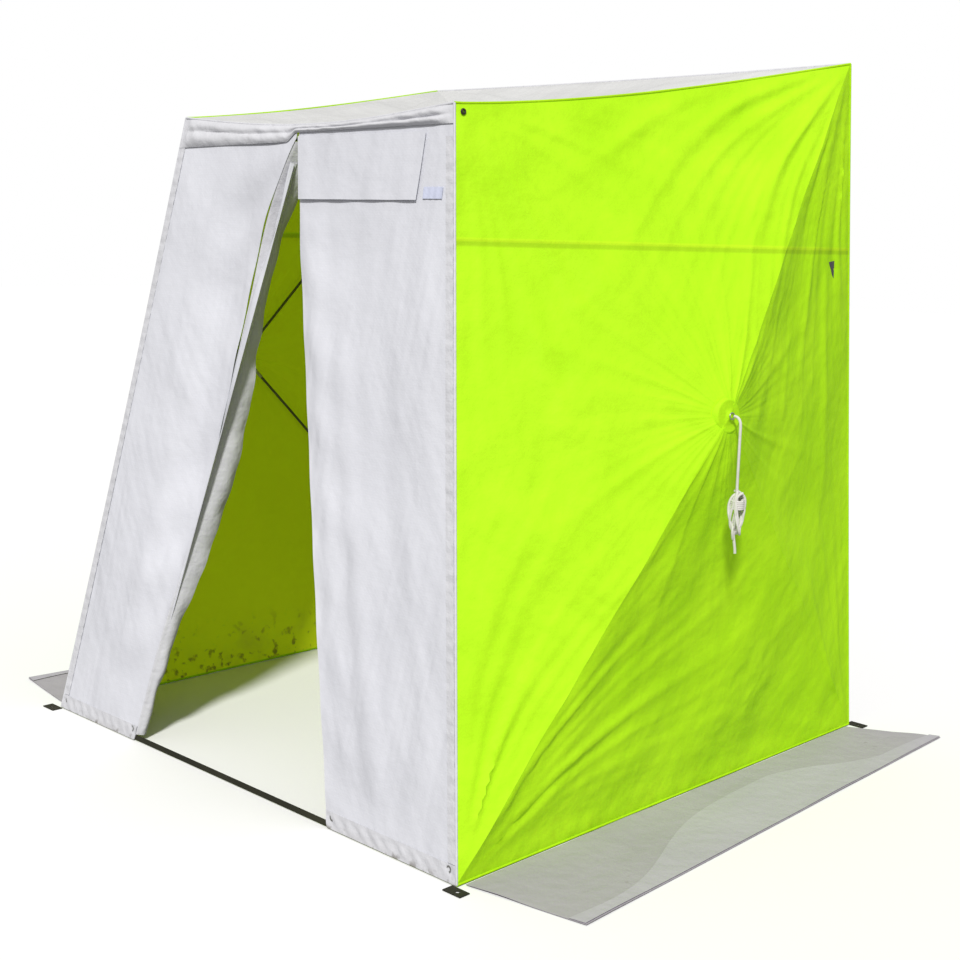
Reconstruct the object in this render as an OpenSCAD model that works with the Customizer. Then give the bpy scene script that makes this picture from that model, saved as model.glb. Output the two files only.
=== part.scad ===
// Pop-up ice fishing shelter: three spring-pole hubs spread a white and lime
// fabric shell. Front faces -Y, floor is z = 0, origin at the middle of the box.

/* [Base] */
// Width of the base from side wall to side wall
base_w = 1830; // [1650:10:2200]
// Depth of the base from front wall to back wall
base_d = 1830; // [1650:10:2200]
// Radius of the piped edges that join the walls
piping_r = 4; // [3:0.5:6]

/* [Roof] */
// Width across the front edge of the roof
roof_front_w = 1154; // [1000:2:1500]
// Width across the back edge of the roof
roof_back_w = 1770; // [1500:10:2000]
// Height of the front edge of the roof
front_h = 1890; // [1700:10:2280]
// Height of the back edge of the roof
back_h = 2100; // [1950:10:2530]
// How far the top of the front wall stands behind its foot
front_lean = 262; // [150:2:320]
// How far the top of the back wall stands in front of its foot
back_lean = 212; // [150:2:270]

/* [Hubs] */
// How far a side hub stands out of the middle of its wall
side_pop = 260; // [216:2:312]
// Height of the side hubs
side_hub_z = 1112; // [1050:2:1300]
// How far the side hubs sit in front of the middle of the base
side_hub_front = 85; // [40:5:160]
// How far the roof hub hangs below the flat of the roof
roof_pop = 170; // [140:2:210]
// How far the roof hub sits behind the front edge of the roof
roof_hub_back = 790; // [660:10:950]
// Radius of a hub block
hub_r = 42; // [38:1:50]
// Thickness of a hub block
hub_t = 28; // [22:1:34]
// How far the middle of a hub block sits inside the fabric
hub_inset = 20; // [18:1:24]
// Radius of the pins that the poles turn on
pin_r = 3; // [2:0.1:3.6]
// Distance from the middle of a hub to its pole pins
pin_ring = 32; // [28:1:34]

/* [Poles] */
// Diameter of a fibreglass pole
pole_d = 11; // [9:0.5:13]
// Length of the metal ferrule on the hub end of a pole
ferrule_len = 70; // [50:5:85]
// Length of the cap on the far end of a pole
tip_len = 40; // [25:5:48]
// Free length between a pole's tip and its corner when its wall is flat
tip_gap = 46; // [40:1:58]

/* [Fabric] */
// Thickness of the fabric
fab_t = 2; // [1.5:0.1:2.4]
// Gap between a side or roof triangle and the piping it hangs on
rim_gap = 5; // [4:1:8]
// Gap between two triangles' edges and the ridge, at the corner
ridge_gap = 22; // [19:1:26]
// The same gap at the hub
hub_gap = 56; // [50:1:66]
// Length of a triangle's point that the hub patch takes
patch_gap = 140; // [130:5:155]
// Radius of the patch over a hub
patch_r = 50; // [45:1:51]

/* [Door] */
// Width of the door opening at the floor
door_w = 920; // [760:10:1110]
// How far the door sits to the left of the middle
door_shift = 30; // [0:2:36]
// Length of the door opening up the front wall
door_len = 1835; // [1640:5:1850]
// Fold of the open door flaps, from closed
door_fold = 148; // [120:1:150]
// Width of a zip tape
zip_w = 32; // [26:1:38]
// Gap between the two door flaps
flap_gap = 8; // [6:1:12]
// Depth of the flap hinge behind the front wall
flap_inset = 16; // [14:1:19]
// Width of the strap across the threshold
strap_w = 16; // [12:1:20]

/* [Vents] */
// Length of the vent flap's lower edge
vent_w = 468; // [390:2:490]
// Height of the vent flap
vent_h = 175; // [146:1:210]
// Width of the mesh window behind the vent flap
window_w = 330; // [280:5:360]
// Height of the mesh window behind the vent flap
window_h = 96; // [80:2:115]
// Width of the cable port in the side wall
port_w = 100; // [84:2:120]
// Height of the cable port in the side wall
port_h = 120; // [100:2:144]

/* [Hems and skirts] */
// Width of the hem strip along the foot of the front and back walls
hem_w = 62; // [50:2:76]
// Outer radius of a hem eyelet
eyelet_r = 10; // [8.5:0.5:13]
// Hole radius of a hem eyelet
eyelet_hole_r = 5; // [4:0.1:6.5]
// Width of a skirt at the front
skirt_front_w = 350; // [290:5:425]
// Width of a skirt at the back
skirt_back_w = 270; // [225:5:330]
// How far a skirt's outer front corner stands behind the front wall
skirt_cut = 75; // [40:5:120]
// How far a skirt's outer back corner stands behind the back wall
skirt_flare = 120; // [70:5:145]
// Length of a stake loop
loop_l = 60; // [48:2:72]
// Width of a stake loop
loop_w = 34; // [28:1:40]
// Thickness of a stake loop
loop_t = 3; // [2:0.5:4]
// Hole radius of a stake loop
stake_r = 6; // [5:0.5:7.5]

/* [Hidden] */
$fn = 48;

// colours
lime = [0.72, 0.96, 0.15];
white = [0.89, 0.89, 0.91];
grey = [0.68, 0.69, 0.67];
black = [0.08, 0.08, 0.08];
olive = [0.24, 0.24, 0.18];
steel = [0.62, 0.62, 0.60];
cord_white = [0.93, 0.93, 0.90];

// clearances
edge_clear = piping_r + 1;   // fabric edge to the corner line beside it
fit_clear = 0.05;            // radial running fit on a pole pin
slot_clear = 1.5;            // pole eye to each cheek of its slot
floor_clear = 3;             // foot of a wall panel above the floor
flap_clear = 30;             // an open door flap to the foot of the side wall
strap_t = 1.6;               // thickness of the threshold strap
tag_w = 70;                  // blank patch on the front panel
tag_h = 30;
tag_t = 0.8;
pocket_low = hem_w + 6;      // foot of the lower corner pockets

// the middle of the base, placed so that the whole shelter's box is centred
loop_gap = 5;                // stake loop to the foot of the wall beside it
base_y = (loop_w + loop_gap - skirt_flare) / 2;
front_y = base_y - base_d / 2;
back_y = base_y + base_d / 2;

// corners of the shell: side (-1 left, 1 right), front or back, base or top
function front_base(s) = [s * base_w / 2, front_y, piping_r];
function back_base(s) = [s * base_w / 2, back_y, piping_r];
function front_top(s) = [s * roof_front_w / 2, front_y + front_lean, front_h];
function back_top(s) = [s * roof_back_w / 2, back_y - back_lean, back_h];

function unit(v) = v / norm(v);
function mix(a, b, t) = a + (b - a) * t;
function mean4(p) = (p[0] + p[1] + p[2] + p[3]) / 4;

// a side wall's corners in order, its outward normal and its hub point
function side_corners(s) = [front_base(s), back_base(s), back_top(s), front_top(s)];
function side_normal(s) = let(c = side_corners(s), n = unit(cross(c[2] - c[0], c[3] - c[1])))
    n * sign(n[0] * s);
function side_hub(s) = let(m = mean4(side_corners(s)), n = side_normal(s),
    y = base_y - side_hub_front, z = side_hub_z)
    [m[0] + (side_pop - n[1] * (y - m[1]) - n[2] * (z - m[2])) / n[0], y, z];

// the roof's corners in order, its upward normal and its hub point
roof_corners = [front_top(-1), front_top(1), back_top(1), back_top(-1)];
roof_normal = unit(cross(roof_corners[1] - roof_corners[0], roof_corners[3] - roof_corners[0]));
roof_up = unit((roof_corners[2] + roof_corners[3]) / 2 - (roof_corners[0] + roof_corners[1]) / 2);
roof_flat = (roof_corners[0] + roof_corners[1]) / 2 + roof_up * roof_hub_back;
roof_hub = roof_flat - roof_normal * roof_pop;

// front and back wall, measured up their slopes
front_len = norm([front_lean, front_h]);
back_len = norm([back_lean, back_h]);
front_tilt = atan2(front_h, front_lean);
back_tilt = atan2(back_h, back_lean);
header_v = door_len + 5;
function front_half(v) = mix(base_w / 2, roof_front_w / 2, v / front_len);
function back_half(v) = mix(base_w / 2, roof_back_w / 2, v / back_len);
function jamb(v) = mix(door_w / 2, flap_gap / 2, v / door_len);
function jamb_x(s, v) = s * jamb(v) - door_shift;

// the pull cord's route from the button on the right hub, as steps from its start
cord_r = 4;
cord_sides = 10;
cord_steps = [
    [0, 0, 0], [6, 0, -0.5], [12, 0, -3], [17, 0, -8], [20, 0, -15], [21, 0, -25],
    [21, 0, -36], [21, 0, -48], [21, 0, -60], [21, 0, -72], [21, 0, -84], [21, 0, -96],
    [21, 0, -108], [21, 0, -120], [21, 0, -132], [21, 0, -144], [21, 0, -156], [21, 0, -168],
    [21, 0, -180], [21, 0, -190]
];
button_h = 5;
knob_r = 4.5;                // knob that the cord swings on
knob_h = button_h + 4;
cord_start = side_hub(1) + side_normal(1) * knob_h + [knob_r + 0.5, 0, 0];

// puts x along a direction, z along another, and the origin at a point
module frame(o, x, z) {
    y = cross(z, x);
    multmatrix([
        [x[0], y[0], z[0], o[0]],
        [x[1], y[1], z[1], o[1]],
        [x[2], y[2], z[2], o[2]],
        [0, 0, 0, 1]
    ]) children();
}

// puts z along the line from a to b
module along(a, b) {
    z = unit(b - a);
    side = abs(z[2]) < 0.9 ? [0, 0, 1] : [1, 0, 0];
    frame(a, unit(cross(side, z)), z) children();
}

// a sheet in the front wall's plane: x across, y up the slope, its outer face at z = 0
module on_front(depth = 0) {
    translate([0, front_y, 0]) rotate([front_tilt, 0, 0]) translate([0, 0, -depth]) children();
}

module on_back(depth = 0) {
    translate([0, back_y, 0]) rotate([0, 0, 180]) rotate([back_tilt, 0, 0])
        translate([0, 0, -depth]) children();
}

module sheet(points, t = fab_t) {
    translate([0, 0, -t]) linear_extrude(t) polygon(points);
}

// ---- front wall ----

function panel_outline(s) = [
    [s * (front_half(floor_clear) - edge_clear), floor_clear],
    [jamb_x(s, floor_clear), floor_clear],
    [jamb_x(s, door_len), door_len],
    [jamb_x(s, door_len), header_v],
    [s * (front_half(header_v) - edge_clear), header_v]
];

eyelet_v = hem_w / 2 + floor_clear;
function eyelet_places(s) = [
    [s * (front_half(eyelet_v) - 2.6 * eyelet_r), eyelet_v],
    [jamb_x(s, eyelet_v) + s * 2.4 * eyelet_r, eyelet_v]
];

module eyelet_holes(s) {
    for (p = eyelet_places(s)) translate([p[0], p[1], -10]) cylinder(r = eyelet_hole_r + 1.5, h = 20);
}

window_u = jamb_x(1, header_v - vent_h) + 45;
window_v = header_v - vent_h / 2 - window_h / 2 - 8;

module window_cut(grow = 0) {
    translate([window_u - grow, window_v - grow, -10])
        cube([window_w + 2 * grow, window_h + 2 * grow, 20]);
}

module front_panel_left() {
    color(white) on_front() difference() {
        sheet(panel_outline(-1));
        eyelet_holes(-1);
    }
}

module front_panel_right() {
    color(white) on_front() difference() {
        sheet(panel_outline(1));
        eyelet_holes(1);
        window_cut();
    }
}

module front_header() {
    color(white) on_front() sheet([
        [-front_half(header_v) + edge_clear, header_v],
        [front_half(header_v) - edge_clear, header_v],
        [front_half(front_len) - 2 * edge_clear, front_len - edge_clear],
        [-front_half(front_len) + 2 * edge_clear, front_len - edge_clear]
    ]);
}

hem_t = 1.5;

module front_hems() {
    color(white) on_front(-hem_t) for (s = [-1, 1]) difference() {
        sheet([
            [s * (front_half(floor_clear) - edge_clear), floor_clear],
            [jamb_x(s, floor_clear) + s, floor_clear],
            [jamb_x(s, hem_w) + s, hem_w],
            [s * (front_half(hem_w) - edge_clear), hem_w]
        ], hem_t);
        eyelet_holes(s);
    }
}

binding_w = 26;

// a folded tape down each side of the front wall
module front_binding() {
    color(white) on_front(-hem_t) for (s = [-1, 1]) sheet([
        [s * (front_half(hem_w) - edge_clear), hem_w + 1],
        [s * (front_half(hem_w) - edge_clear - binding_w), hem_w + 1],
        [s * (front_half(header_v) - edge_clear - binding_w), header_v],
        [s * (front_half(header_v) - edge_clear), header_v]
    ], hem_t);
}

module hem_eyelets() {
    color(steel) on_front() for (s = [-1, 1]) for (p = eyelet_places(s))
        translate([p[0], p[1], 0]) eyelet();
    color(steel) on_back() for (s = [-1, 1]) translate([s * back_eyelet_u, eyelet_v, 0]) eyelet();
}

// a pressed ring: barrel through the cloth, flange on each face
module eyelet() {
    rotate_extrude() polygon([
        [eyelet_hole_r, -fab_t - 1],
        [eyelet_r, -fab_t - 1],
        [eyelet_r, -fab_t],
        [eyelet_hole_r + 1.5, -fab_t],
        [eyelet_hole_r + 1.5, hem_t],
        [eyelet_r, hem_t],
        [eyelet_r, hem_t + 1],
        [eyelet_hole_r, hem_t + 1]
    ]);
}

module threshold_strap() {
    reach = jamb(0) + 40;
    color(olive) on_front(fab_t) sheet([
        [-reach - door_shift, floor_clear],
        [reach - door_shift, floor_clear],
        [reach - door_shift, floor_clear + strap_w],
        [-reach - door_shift, floor_clear + strap_w]
    ], strap_t);
}

// a blank patch beside the vent flap
module panel_tag() {
    low = header_v - vent_h;
    color(grey) on_front(-tag_t) translate([front_half(low) - edge_clear - binding_w - tag_w - 8, low + 2, 0])
        sheet([[0, 0], [tag_w, 0], [tag_w, tag_h], [0, tag_h]], tag_t);
}

// ---- vent in the right front panel ----

module vent_screen() {
    color(black) on_front(fab_t) difference() {
        translate([window_u - 8, window_v - 8, -1]) cube([window_w + 16, window_h + 16, 1]);
        for (i = [0 : 5]) translate([window_u + 12 + i * (window_w - 24) / 6, window_v + 8, -5])
            cube([(window_w - 24) / 6 - 8, window_h - 16, 10]);
    }
}

vent_lift = 1;  // gap between the vent flap and the panel

module vent_flap() {
    low = header_v - vent_h;
    color(white) on_front(-fab_t - vent_lift) sheet([
        [jamb_x(1, low) + 3, low],
        [jamb_x(1, low) + 3 + vent_w, low],
        [jamb_x(1, low) + 3 + vent_w, header_v - 2],
        [jamb_x(1, header_v) + 3, header_v - 2]
    ]);
}

// ---- door flaps, drawn closed and then folded back about the jamb ----

flap_low = 24;          // foot of a flap above the floor
flap_top = door_len - 70;
function flap_outline(s) = [
    [s * (jamb(flap_low) - 2), flap_low],
    [s * flap_gap / 2, flap_low],
    [s * flap_gap / 2, flap_top],
    [s * (jamb(flap_top) - 2), flap_top]
];

// room between a jamb and the side wall's foot, and the fold that keeps a flap in it
function flap_room(s) = base_w / 2 - abs(jamb_x(s, 0)) - flap_clear;
function fold_now(s) = min(door_fold, 180 - acos(min(1, flap_room(s) / (door_w / 2))));

// turns a closed flap by its fold about the jamb line
module folded(s) {
    foot = [s * door_w / 2 - door_shift, 0, -flap_inset];
    dir = unit([s * (flap_gap - door_w) / 2, door_len, 0]);
    on_front() translate(foot) rotate(a = -s * fold_now(s), v = dir) translate(-foot)
        translate([-door_shift, 0, 0]) children();
}

module door_flap(s) {
    color(white) folded(s) translate([0, 0, -flap_inset + fab_t / 2]) sheet(flap_outline(s));
}

module door_flap_left() { door_flap(-1); }
module door_flap_right() { door_flap(1); }

zip_t = 1.2;

module door_zip(s) {
    top = flap_top - 60;
    color(steel) folded(s) translate([0, 0, -flap_inset + fab_t / 2 + zip_t]) sheet([
        [s * flap_gap / 2, flap_low],
        [s * (flap_gap / 2 + zip_w), flap_low],
        [s * (flap_gap / 2 + zip_w), top - 4 * zip_w],
        [s * (flap_gap / 2 + 6), top],
        [s * flap_gap / 2, top]
    ], zip_t);
}

module door_zip_left() { door_zip(-1); }
module door_zip_right() { door_zip(1); }

slider_l = 28;

// the slider parked at the top of the right zip, with its pull
module zip_slider() {
    x0 = flap_gap / 2 + 1;
    color(steel) folded(1) translate([x0, flap_top - 62 - slider_l, -flap_inset + fab_t / 2 + zip_t + 0.3]) {
        cube([12, slider_l, 4]);
        translate([3, -22, 1]) cube([6, 24, 2]);
    }
}

// ---- back wall ----

back_eyelet_u = back_half(eyelet_v) - 2.6 * eyelet_r;

module back_panel() {
    top = back_len - edge_clear;
    color(white) on_back() difference() {
        sheet([
            [-back_half(floor_clear) + edge_clear, floor_clear],
            [back_half(floor_clear) - edge_clear, floor_clear],
            [back_half(top) - edge_clear, top],
            [-back_half(top) + edge_clear, top]
        ]);
        for (s = [-1, 1]) translate([s * back_eyelet_u, eyelet_v, -10])
            cylinder(r = eyelet_hole_r + 1.5, h = 20);
    }
}

module back_hem() {
    color(white) on_back(-hem_t) difference() {
        sheet([
            [-back_half(floor_clear) + edge_clear, floor_clear],
            [back_half(floor_clear) - edge_clear, floor_clear],
            [back_half(hem_w) - edge_clear, hem_w],
            [-back_half(hem_w) + edge_clear, hem_w]
        ], hem_t);
        for (s = [-1, 1]) translate([s * back_eyelet_u, eyelet_v, -10])
            cylinder(r = eyelet_hole_r + 1.5, h = 20);
    }
}

// ---- edges and corners ----

pocket_l = 90;   // legs of a corner pocket

// a triangle against one edge: its corner at height v, its leg up (or down) the edge
module corner_pocket(s, u0, u1, v, up = 1) {
    inset = edge_clear + 3;
    v0 = v + up * inset;
    sheet([
        [s * (u0 - 2 * inset), v0],
        [s * (u0 - inset - pocket_l), v0],
        [s * (u1 - 2 * inset), v0 + up * (pocket_l - inset)]
    ]);
}

// a pocket in each corner of the front and back walls that takes a pole's tip
module corner_pockets() {
    color(black) for (s = [-1, 1]) {
        on_front(fab_t) corner_pocket(s, front_half(pocket_low), front_half(pocket_low + pocket_l), pocket_low);
        on_front(fab_t) corner_pocket(s, front_half(front_len), front_half(front_len - pocket_l), front_len, -1);
        on_back(fab_t) corner_pocket(s, back_half(pocket_low), back_half(pocket_low + pocket_l), pocket_low);
        on_back(fab_t) corner_pocket(s, back_half(back_len), back_half(back_len - pocket_l), back_len, -1);
    }
}

function shell_edges() = concat(
    [for (s = [-1, 1]) each [
        [front_base(s), front_top(s)], [back_base(s), back_top(s)],
        [front_base(s), back_base(s)], [front_top(s), back_top(s)]
    ]],
    [[front_top(-1), front_top(1)], [back_top(-1), back_top(1)]]
);

// a round piped seam along each edge of the shell, short of the corners
module edge_piping() {
    color(white) for (e = shell_edges()) along(e[0], e[1])
        translate([0, 0, 3 * piping_r]) cylinder(r = piping_r, h = norm(e[1] - e[0]) - 6 * piping_r);
}

module stake_loops() {
    color(black) for (s = [-1, 1]) for (f = [-1, 1])
        translate([s * (base_w / 2 + loop_l / 2 - 10), base_y + f * (base_d / 2 + loop_w / 2 + loop_gap), 0])
            difference() {
                linear_extrude(loop_t) square([loop_l, loop_w], center = true);
                translate([s * 5, 0, -1]) cylinder(r = stake_r, h = loop_t + 2);
            }
}

// ---- skirts, flat on the floor ----

skirt_gap = piping_r + 6;   // hinge line of a skirt outside the corner line

module skirt(s) {
    x0 = base_w / 2 + skirt_gap;
    color(grey) linear_extrude(fab_t) polygon([
        [s * x0, front_y + 20],
        [s * (base_w / 2 + skirt_front_w), front_y + skirt_cut],
        [s * (base_w / 2 + skirt_back_w), back_y + skirt_flare],
        [s * x0, back_y - 30]
    ]);
}

module skirt_left() { skirt(-1); }
module skirt_right() { skirt(1); }

// ---- a fabric triangle between a rim edge and a hub point ----

// outline in the triangle's own plane: x along the rim from a to b, y towards the hub
function facet_low(y, g, hx, hy) = hx * y / hy + g * norm([hx, hy]) / hy;
function facet_high(y, g, hx, hy, len) = len - facet_low(y, g, len - hx, hy);
function facet_outline(a, b, h) = let(
    len = norm(b - a), ex = (b - a) / len, hx = (h - a) * ex, hy = norm(h - a - hx * ex),
    y0 = piping_r + rim_gap, y1 = hy - patch_gap
) [
    [facet_low(y0, ridge_gap, hx, hy) + 20, y0], [facet_high(y0, ridge_gap, hx, hy, len) - 20, y0],
    [facet_high(y1, hub_gap, hx, hy, len), y1], [facet_low(y1, hub_gap, hx, hy), y1]
];

module on_facet(a, b, h) {
    ex = unit(b - a);
    frame(a, ex, unit(cross(ex, h - a))) children();
}

module facet(a, b, h, tint) {
    color(tint) on_facet(a, b, h) sheet(facet_outline(a, b, h));
}

// rim corners of a side wall's triangle, in the order that faces it outwards
function rim_a(s, i) = side_corners(s)[s > 0 ? i : (i + 1) % 4];
function rim_b(s, i) = side_corners(s)[s > 0 ? (i + 1) % 4 : i];

module side_facet(s, i) { facet(rim_a(s, i), rim_b(s, i), side_hub(s), lime); }
module roof_facet(i) { facet(roof_corners[i], roof_corners[(i + 1) % 4], roof_hub, white); }

// the cable port is a triangle, point down, near the back edge of the right wall
port_rise = 1400;   // its point, measured up the back edge
port_in = 48;       // its upper outer corner, measured in from the back edge

function port_shape(grow) = [
    [port_rise - 1.6 * grow, port_in + 14],
    [port_rise + port_h + grow, port_in - grow],
    [port_rise + port_h + grow, port_in + port_w + 1.6 * grow]
];

module wall_right_back() {
    color(lime) on_facet(rim_a(1, 1), rim_b(1, 1), side_hub(1)) difference() {
        sheet(facet_outline(rim_a(1, 1), rim_b(1, 1), side_hub(1)));
        translate([0, 0, -10]) linear_extrude(20) polygon(port_shape(0));
    }
}

module cable_port() {
    color(black) on_facet(rim_a(1, 1), rim_b(1, 1), side_hub(1)) translate([0, 0, -fab_t]) difference() {
        sheet(port_shape(14), 1.2);
        for (i = [0 : 3]) intersection() {
            translate([0, 0, -5]) linear_extrude(10) polygon(port_shape(-8));
            translate([port_rise + (i + 0.3) * port_h / 4.2, 0, -5])
                cube([port_h / 4.2 - 6, port_in + 2 * port_w, 10]);
        }
    }
}

module wall_right_base() { side_facet(1, 0); }
module wall_right_top() { side_facet(1, 2); }
module wall_right_front() { side_facet(1, 3); }
module wall_left_base() { side_facet(-1, 0); }
module wall_left_back() { side_facet(-1, 1); }
module wall_left_top() { side_facet(-1, 2); }
module wall_left_front() { side_facet(-1, 3); }
module roof_front() { roof_facet(0); }
module roof_right() { roof_facet(1); }
module roof_back() { roof_facet(2); }
module roof_left() { roof_facet(3); }

// ---- hubs ----

hub_neck = 14;      // width of a pole slot
lug_r = 7;          // radius of a pole's eye

// directions from a hub to a corner, flat against its wall
function flat_dir(h, n, c) = let(d = c - h) unit(d - n * (d * n));

module hub_block(h, n, corners) {
    x = flat_dir(h, n, corners[0]);
    color(black) frame(h - n * hub_inset, x, n) difference() {
        union() {
            translate([0, 0, -hub_t / 2]) cylinder(r = hub_r, h = hub_t);
            translate([0, 0, -hub_t / 2 - 6]) cylinder(r = 16, h = 7);
        }
        for (c = corners) rotate([0, 0, slot_angle(h, n, x, c)]) {
            translate([pin_ring - lug_r - 3, -hub_neck / 2, -hub_t]) cube([hub_r, hub_neck, 2 * hub_t]);
            translate([pin_ring, 0, 0]) rotate([90, 0, 0])
                cylinder(r = pin_r, h = 2 * lug_r + hub_neck, center = true);
        }
    }
}

function slot_angle(h, n, x, c) = let(d = flat_dir(h, n, c), y = cross(n, x)) atan2(d * y, d * x);

module hub_pins(h, n, corners) {
    x = flat_dir(h, n, corners[0]);
    color(steel) frame(h - n * hub_inset, x, n) for (c = corners)
        rotate([0, 0, slot_angle(h, n, x, c)]) translate([pin_ring, 0, 0]) rotate([90, 0, 0])
            cylinder(r = pin_r, h = 2 * lug_r + hub_neck - 2, center = true);
}

// a fabric disc over the hub, clamped under a button on a stem
module hub_patch(h, n, corners, tint) {
    x = flat_dir(h, n, corners[0]);
    stem = hub_inset - hub_t / 2;
    frame(h, x, n) {
        color(tint) translate([0, 0, -fab_t]) cylinder(r = patch_r, h = fab_t);
        color(black) cylinder(r = 14, h = button_h);
        color(black) translate([0, 0, knob_h]) sphere(r = knob_r);
        color(black) translate([0, 0, -stem]) cylinder(r = 8, h = stem - fab_t);
    }
}

module hub_right() { hub_block(side_hub(1), side_normal(1), side_corners(1)); }
module hub_left() { hub_block(side_hub(-1), side_normal(-1), side_corners(-1)); }
module hub_roof() { hub_block(roof_hub, roof_normal, roof_corners); }
module hub_pins_right() { hub_pins(side_hub(1), side_normal(1), side_corners(1)); }
module hub_pins_left() { hub_pins(side_hub(-1), side_normal(-1), side_corners(-1)); }
module hub_pins_roof() { hub_pins(roof_hub, roof_normal, roof_corners); }
module hub_patch_right() { hub_patch(side_hub(1), side_normal(1), side_corners(1), lime); }
module hub_patch_left() { hub_patch(side_hub(-1), side_normal(-1), side_corners(-1), lime); }
module hub_patch_roof() { hub_patch(roof_hub, roof_normal, roof_corners, white); }

// ---- poles ----

// a pole drawn along x from its pin: eye, ferrule, rod and tip cap
module pole(h, n, c) {
    e = flat_dir(h, n, c);
    pin = h - n * hub_inset + e * pin_ring;
    far = c - n * hub_inset;
    len = (far - pin) * e - tip_gap;
    eye_w = hub_neck - 2 * slot_clear;
    x = unit(far - pin);
    y = cross(n, e);
    color(black) frame(pin, x, cross(x, y)) difference() {
        union() {
            rotate([90, 0, 0]) cylinder(r = lug_r, h = eye_w, center = true);
            translate([0, -eye_w / 2, -5]) cube([20, eye_w, 10]);
            translate([18, 0, 0]) rotate([0, 90, 0]) cylinder(r = pole_d / 2 + 2, h = ferrule_len);
            translate([30, 0, 0]) rotate([0, 90, 0]) cylinder(r = pole_d / 2, h = len - 40);
            translate([len - tip_len, 0, 0]) rotate([0, 90, 0]) cylinder(r = pole_d / 2 + 1.5, h = tip_len);
        }
        rotate([90, 0, 0]) cylinder(r = pin_r + fit_clear, h = 2 * eye_w, center = true);
    }
}

module side_pole(s, i) { pole(side_hub(s), side_normal(s), side_corners(s)[i]); }
module roof_pole(i) { pole(roof_hub, roof_normal, roof_corners[i]); }

module pole_right_front_base() { side_pole(1, 0); }
module pole_right_back_base() { side_pole(1, 1); }
module pole_right_back_top() { side_pole(1, 2); }
module pole_right_front_top() { side_pole(1, 3); }
module pole_left_front_base() { side_pole(-1, 0); }
module pole_left_back_base() { side_pole(-1, 1); }
module pole_left_back_top() { side_pole(-1, 2); }
module pole_left_front_top() { side_pole(-1, 3); }
module pole_roof_front_left() { roof_pole(0); }
module pole_roof_front_right() { roof_pole(1); }
module pole_roof_back_right() { roof_pole(2); }
module pole_roof_back_left() { roof_pole(3); }

// ---- pull cord: one tube through its route, and the wound bundle with its tail ----

module tube(path, r, sides) {
    n = len(path);
    function tangent(i) = unit(path[min(i + 1, n - 1)] - path[max(i - 1, 0)]);
    rings = [for (i = [0 : n - 1]) let(t = tangent(i), u = [0, 1, 0], w = cross(t, u))
        for (k = [0 : sides - 1]) path[i] + r * (u * cos(360 * k / sides) + w * sin(360 * k / sides))];
    sidewalls = [for (i = [0 : n - 2]) for (k = [0 : sides - 1]) let(m = (k + 1) % sides)
        [i * sides + k, i * sides + m, (i + 1) * sides + m, (i + 1) * sides + k]];
    polyhedron(
        points = rings,
        faces = concat(
            [[for (k = [sides - 1 : -1 : 0]) k]],
            sidewalls,
            [[for (k = [0 : sides - 1]) (n - 1) * sides + k]]
        )
    );
}

module pull_cord() {
    color(cord_white) tube([for (p = cord_steps) cord_start + p], cord_r, cord_sides);
}

module cord_bundle() {
    color(cord_white) translate(cord_start + cord_steps[len(cord_steps) - 1]) rotate_extrude() polygon([
        [0, 0], [cord_r, 0], [14, -8], [20, -24], [20, -74], [13, -92], [5, -100], [4, -170], [7, -174],
        [7, -186], [3, -190], [0, -190]
    ]);
}

front_panel_left();
front_panel_right();
front_header();
front_hems();
front_binding();
back_panel();
back_hem();
edge_piping();
corner_pockets();
stake_loops();
hem_eyelets();
threshold_strap();
panel_tag();
vent_screen();
vent_flap();
door_flap_left();
door_flap_right();
door_zip_left();
door_zip_right();
zip_slider();
skirt_left();
skirt_right();
hub_right();
hub_left();
hub_roof();
hub_pins_right();
hub_pins_left();
hub_pins_roof();
hub_patch_right();
hub_patch_left();
hub_patch_roof();
pull_cord();
cord_bundle();
wall_right_front();
wall_right_top();
wall_right_back();
wall_right_base();
cable_port();
wall_left_front();
wall_left_top();
wall_left_back();
wall_left_base();
roof_front();
roof_right();
roof_back();
roof_left();
pole_right_front_top();
pole_right_back_top();
pole_right_back_base();
pole_right_front_base();
pole_left_front_top();
pole_left_back_top();
pole_left_back_base();
pole_left_front_base();
pole_roof_front_right();
pole_roof_back_right();
pole_roof_back_left();
pole_roof_front_left();
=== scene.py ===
"""Looks of a pop-up ice fishing shelter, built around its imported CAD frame. Metres, Z up."""

import logging
import math
from dataclasses import dataclass, field
from enum import Enum
from typing import Callable, Sequence

import bpy
import numpy as np
from mathutils import Matrix


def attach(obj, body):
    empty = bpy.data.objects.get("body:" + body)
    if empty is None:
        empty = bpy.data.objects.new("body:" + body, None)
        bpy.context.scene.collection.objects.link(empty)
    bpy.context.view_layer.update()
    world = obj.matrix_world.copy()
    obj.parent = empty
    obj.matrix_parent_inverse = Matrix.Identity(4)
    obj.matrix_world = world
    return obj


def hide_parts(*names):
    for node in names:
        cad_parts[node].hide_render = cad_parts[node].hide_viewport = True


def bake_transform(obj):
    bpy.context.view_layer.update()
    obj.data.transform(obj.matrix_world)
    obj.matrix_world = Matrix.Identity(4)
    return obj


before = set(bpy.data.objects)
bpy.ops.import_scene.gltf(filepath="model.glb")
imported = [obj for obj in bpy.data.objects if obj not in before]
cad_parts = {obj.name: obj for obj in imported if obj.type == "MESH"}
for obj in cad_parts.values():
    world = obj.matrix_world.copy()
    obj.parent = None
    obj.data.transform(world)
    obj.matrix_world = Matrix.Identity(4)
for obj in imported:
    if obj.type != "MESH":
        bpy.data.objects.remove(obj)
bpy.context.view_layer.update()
logging.basicConfig(level=logging.INFO, format="%(message)s")
LOG = logging.getLogger("shelter")

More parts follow.
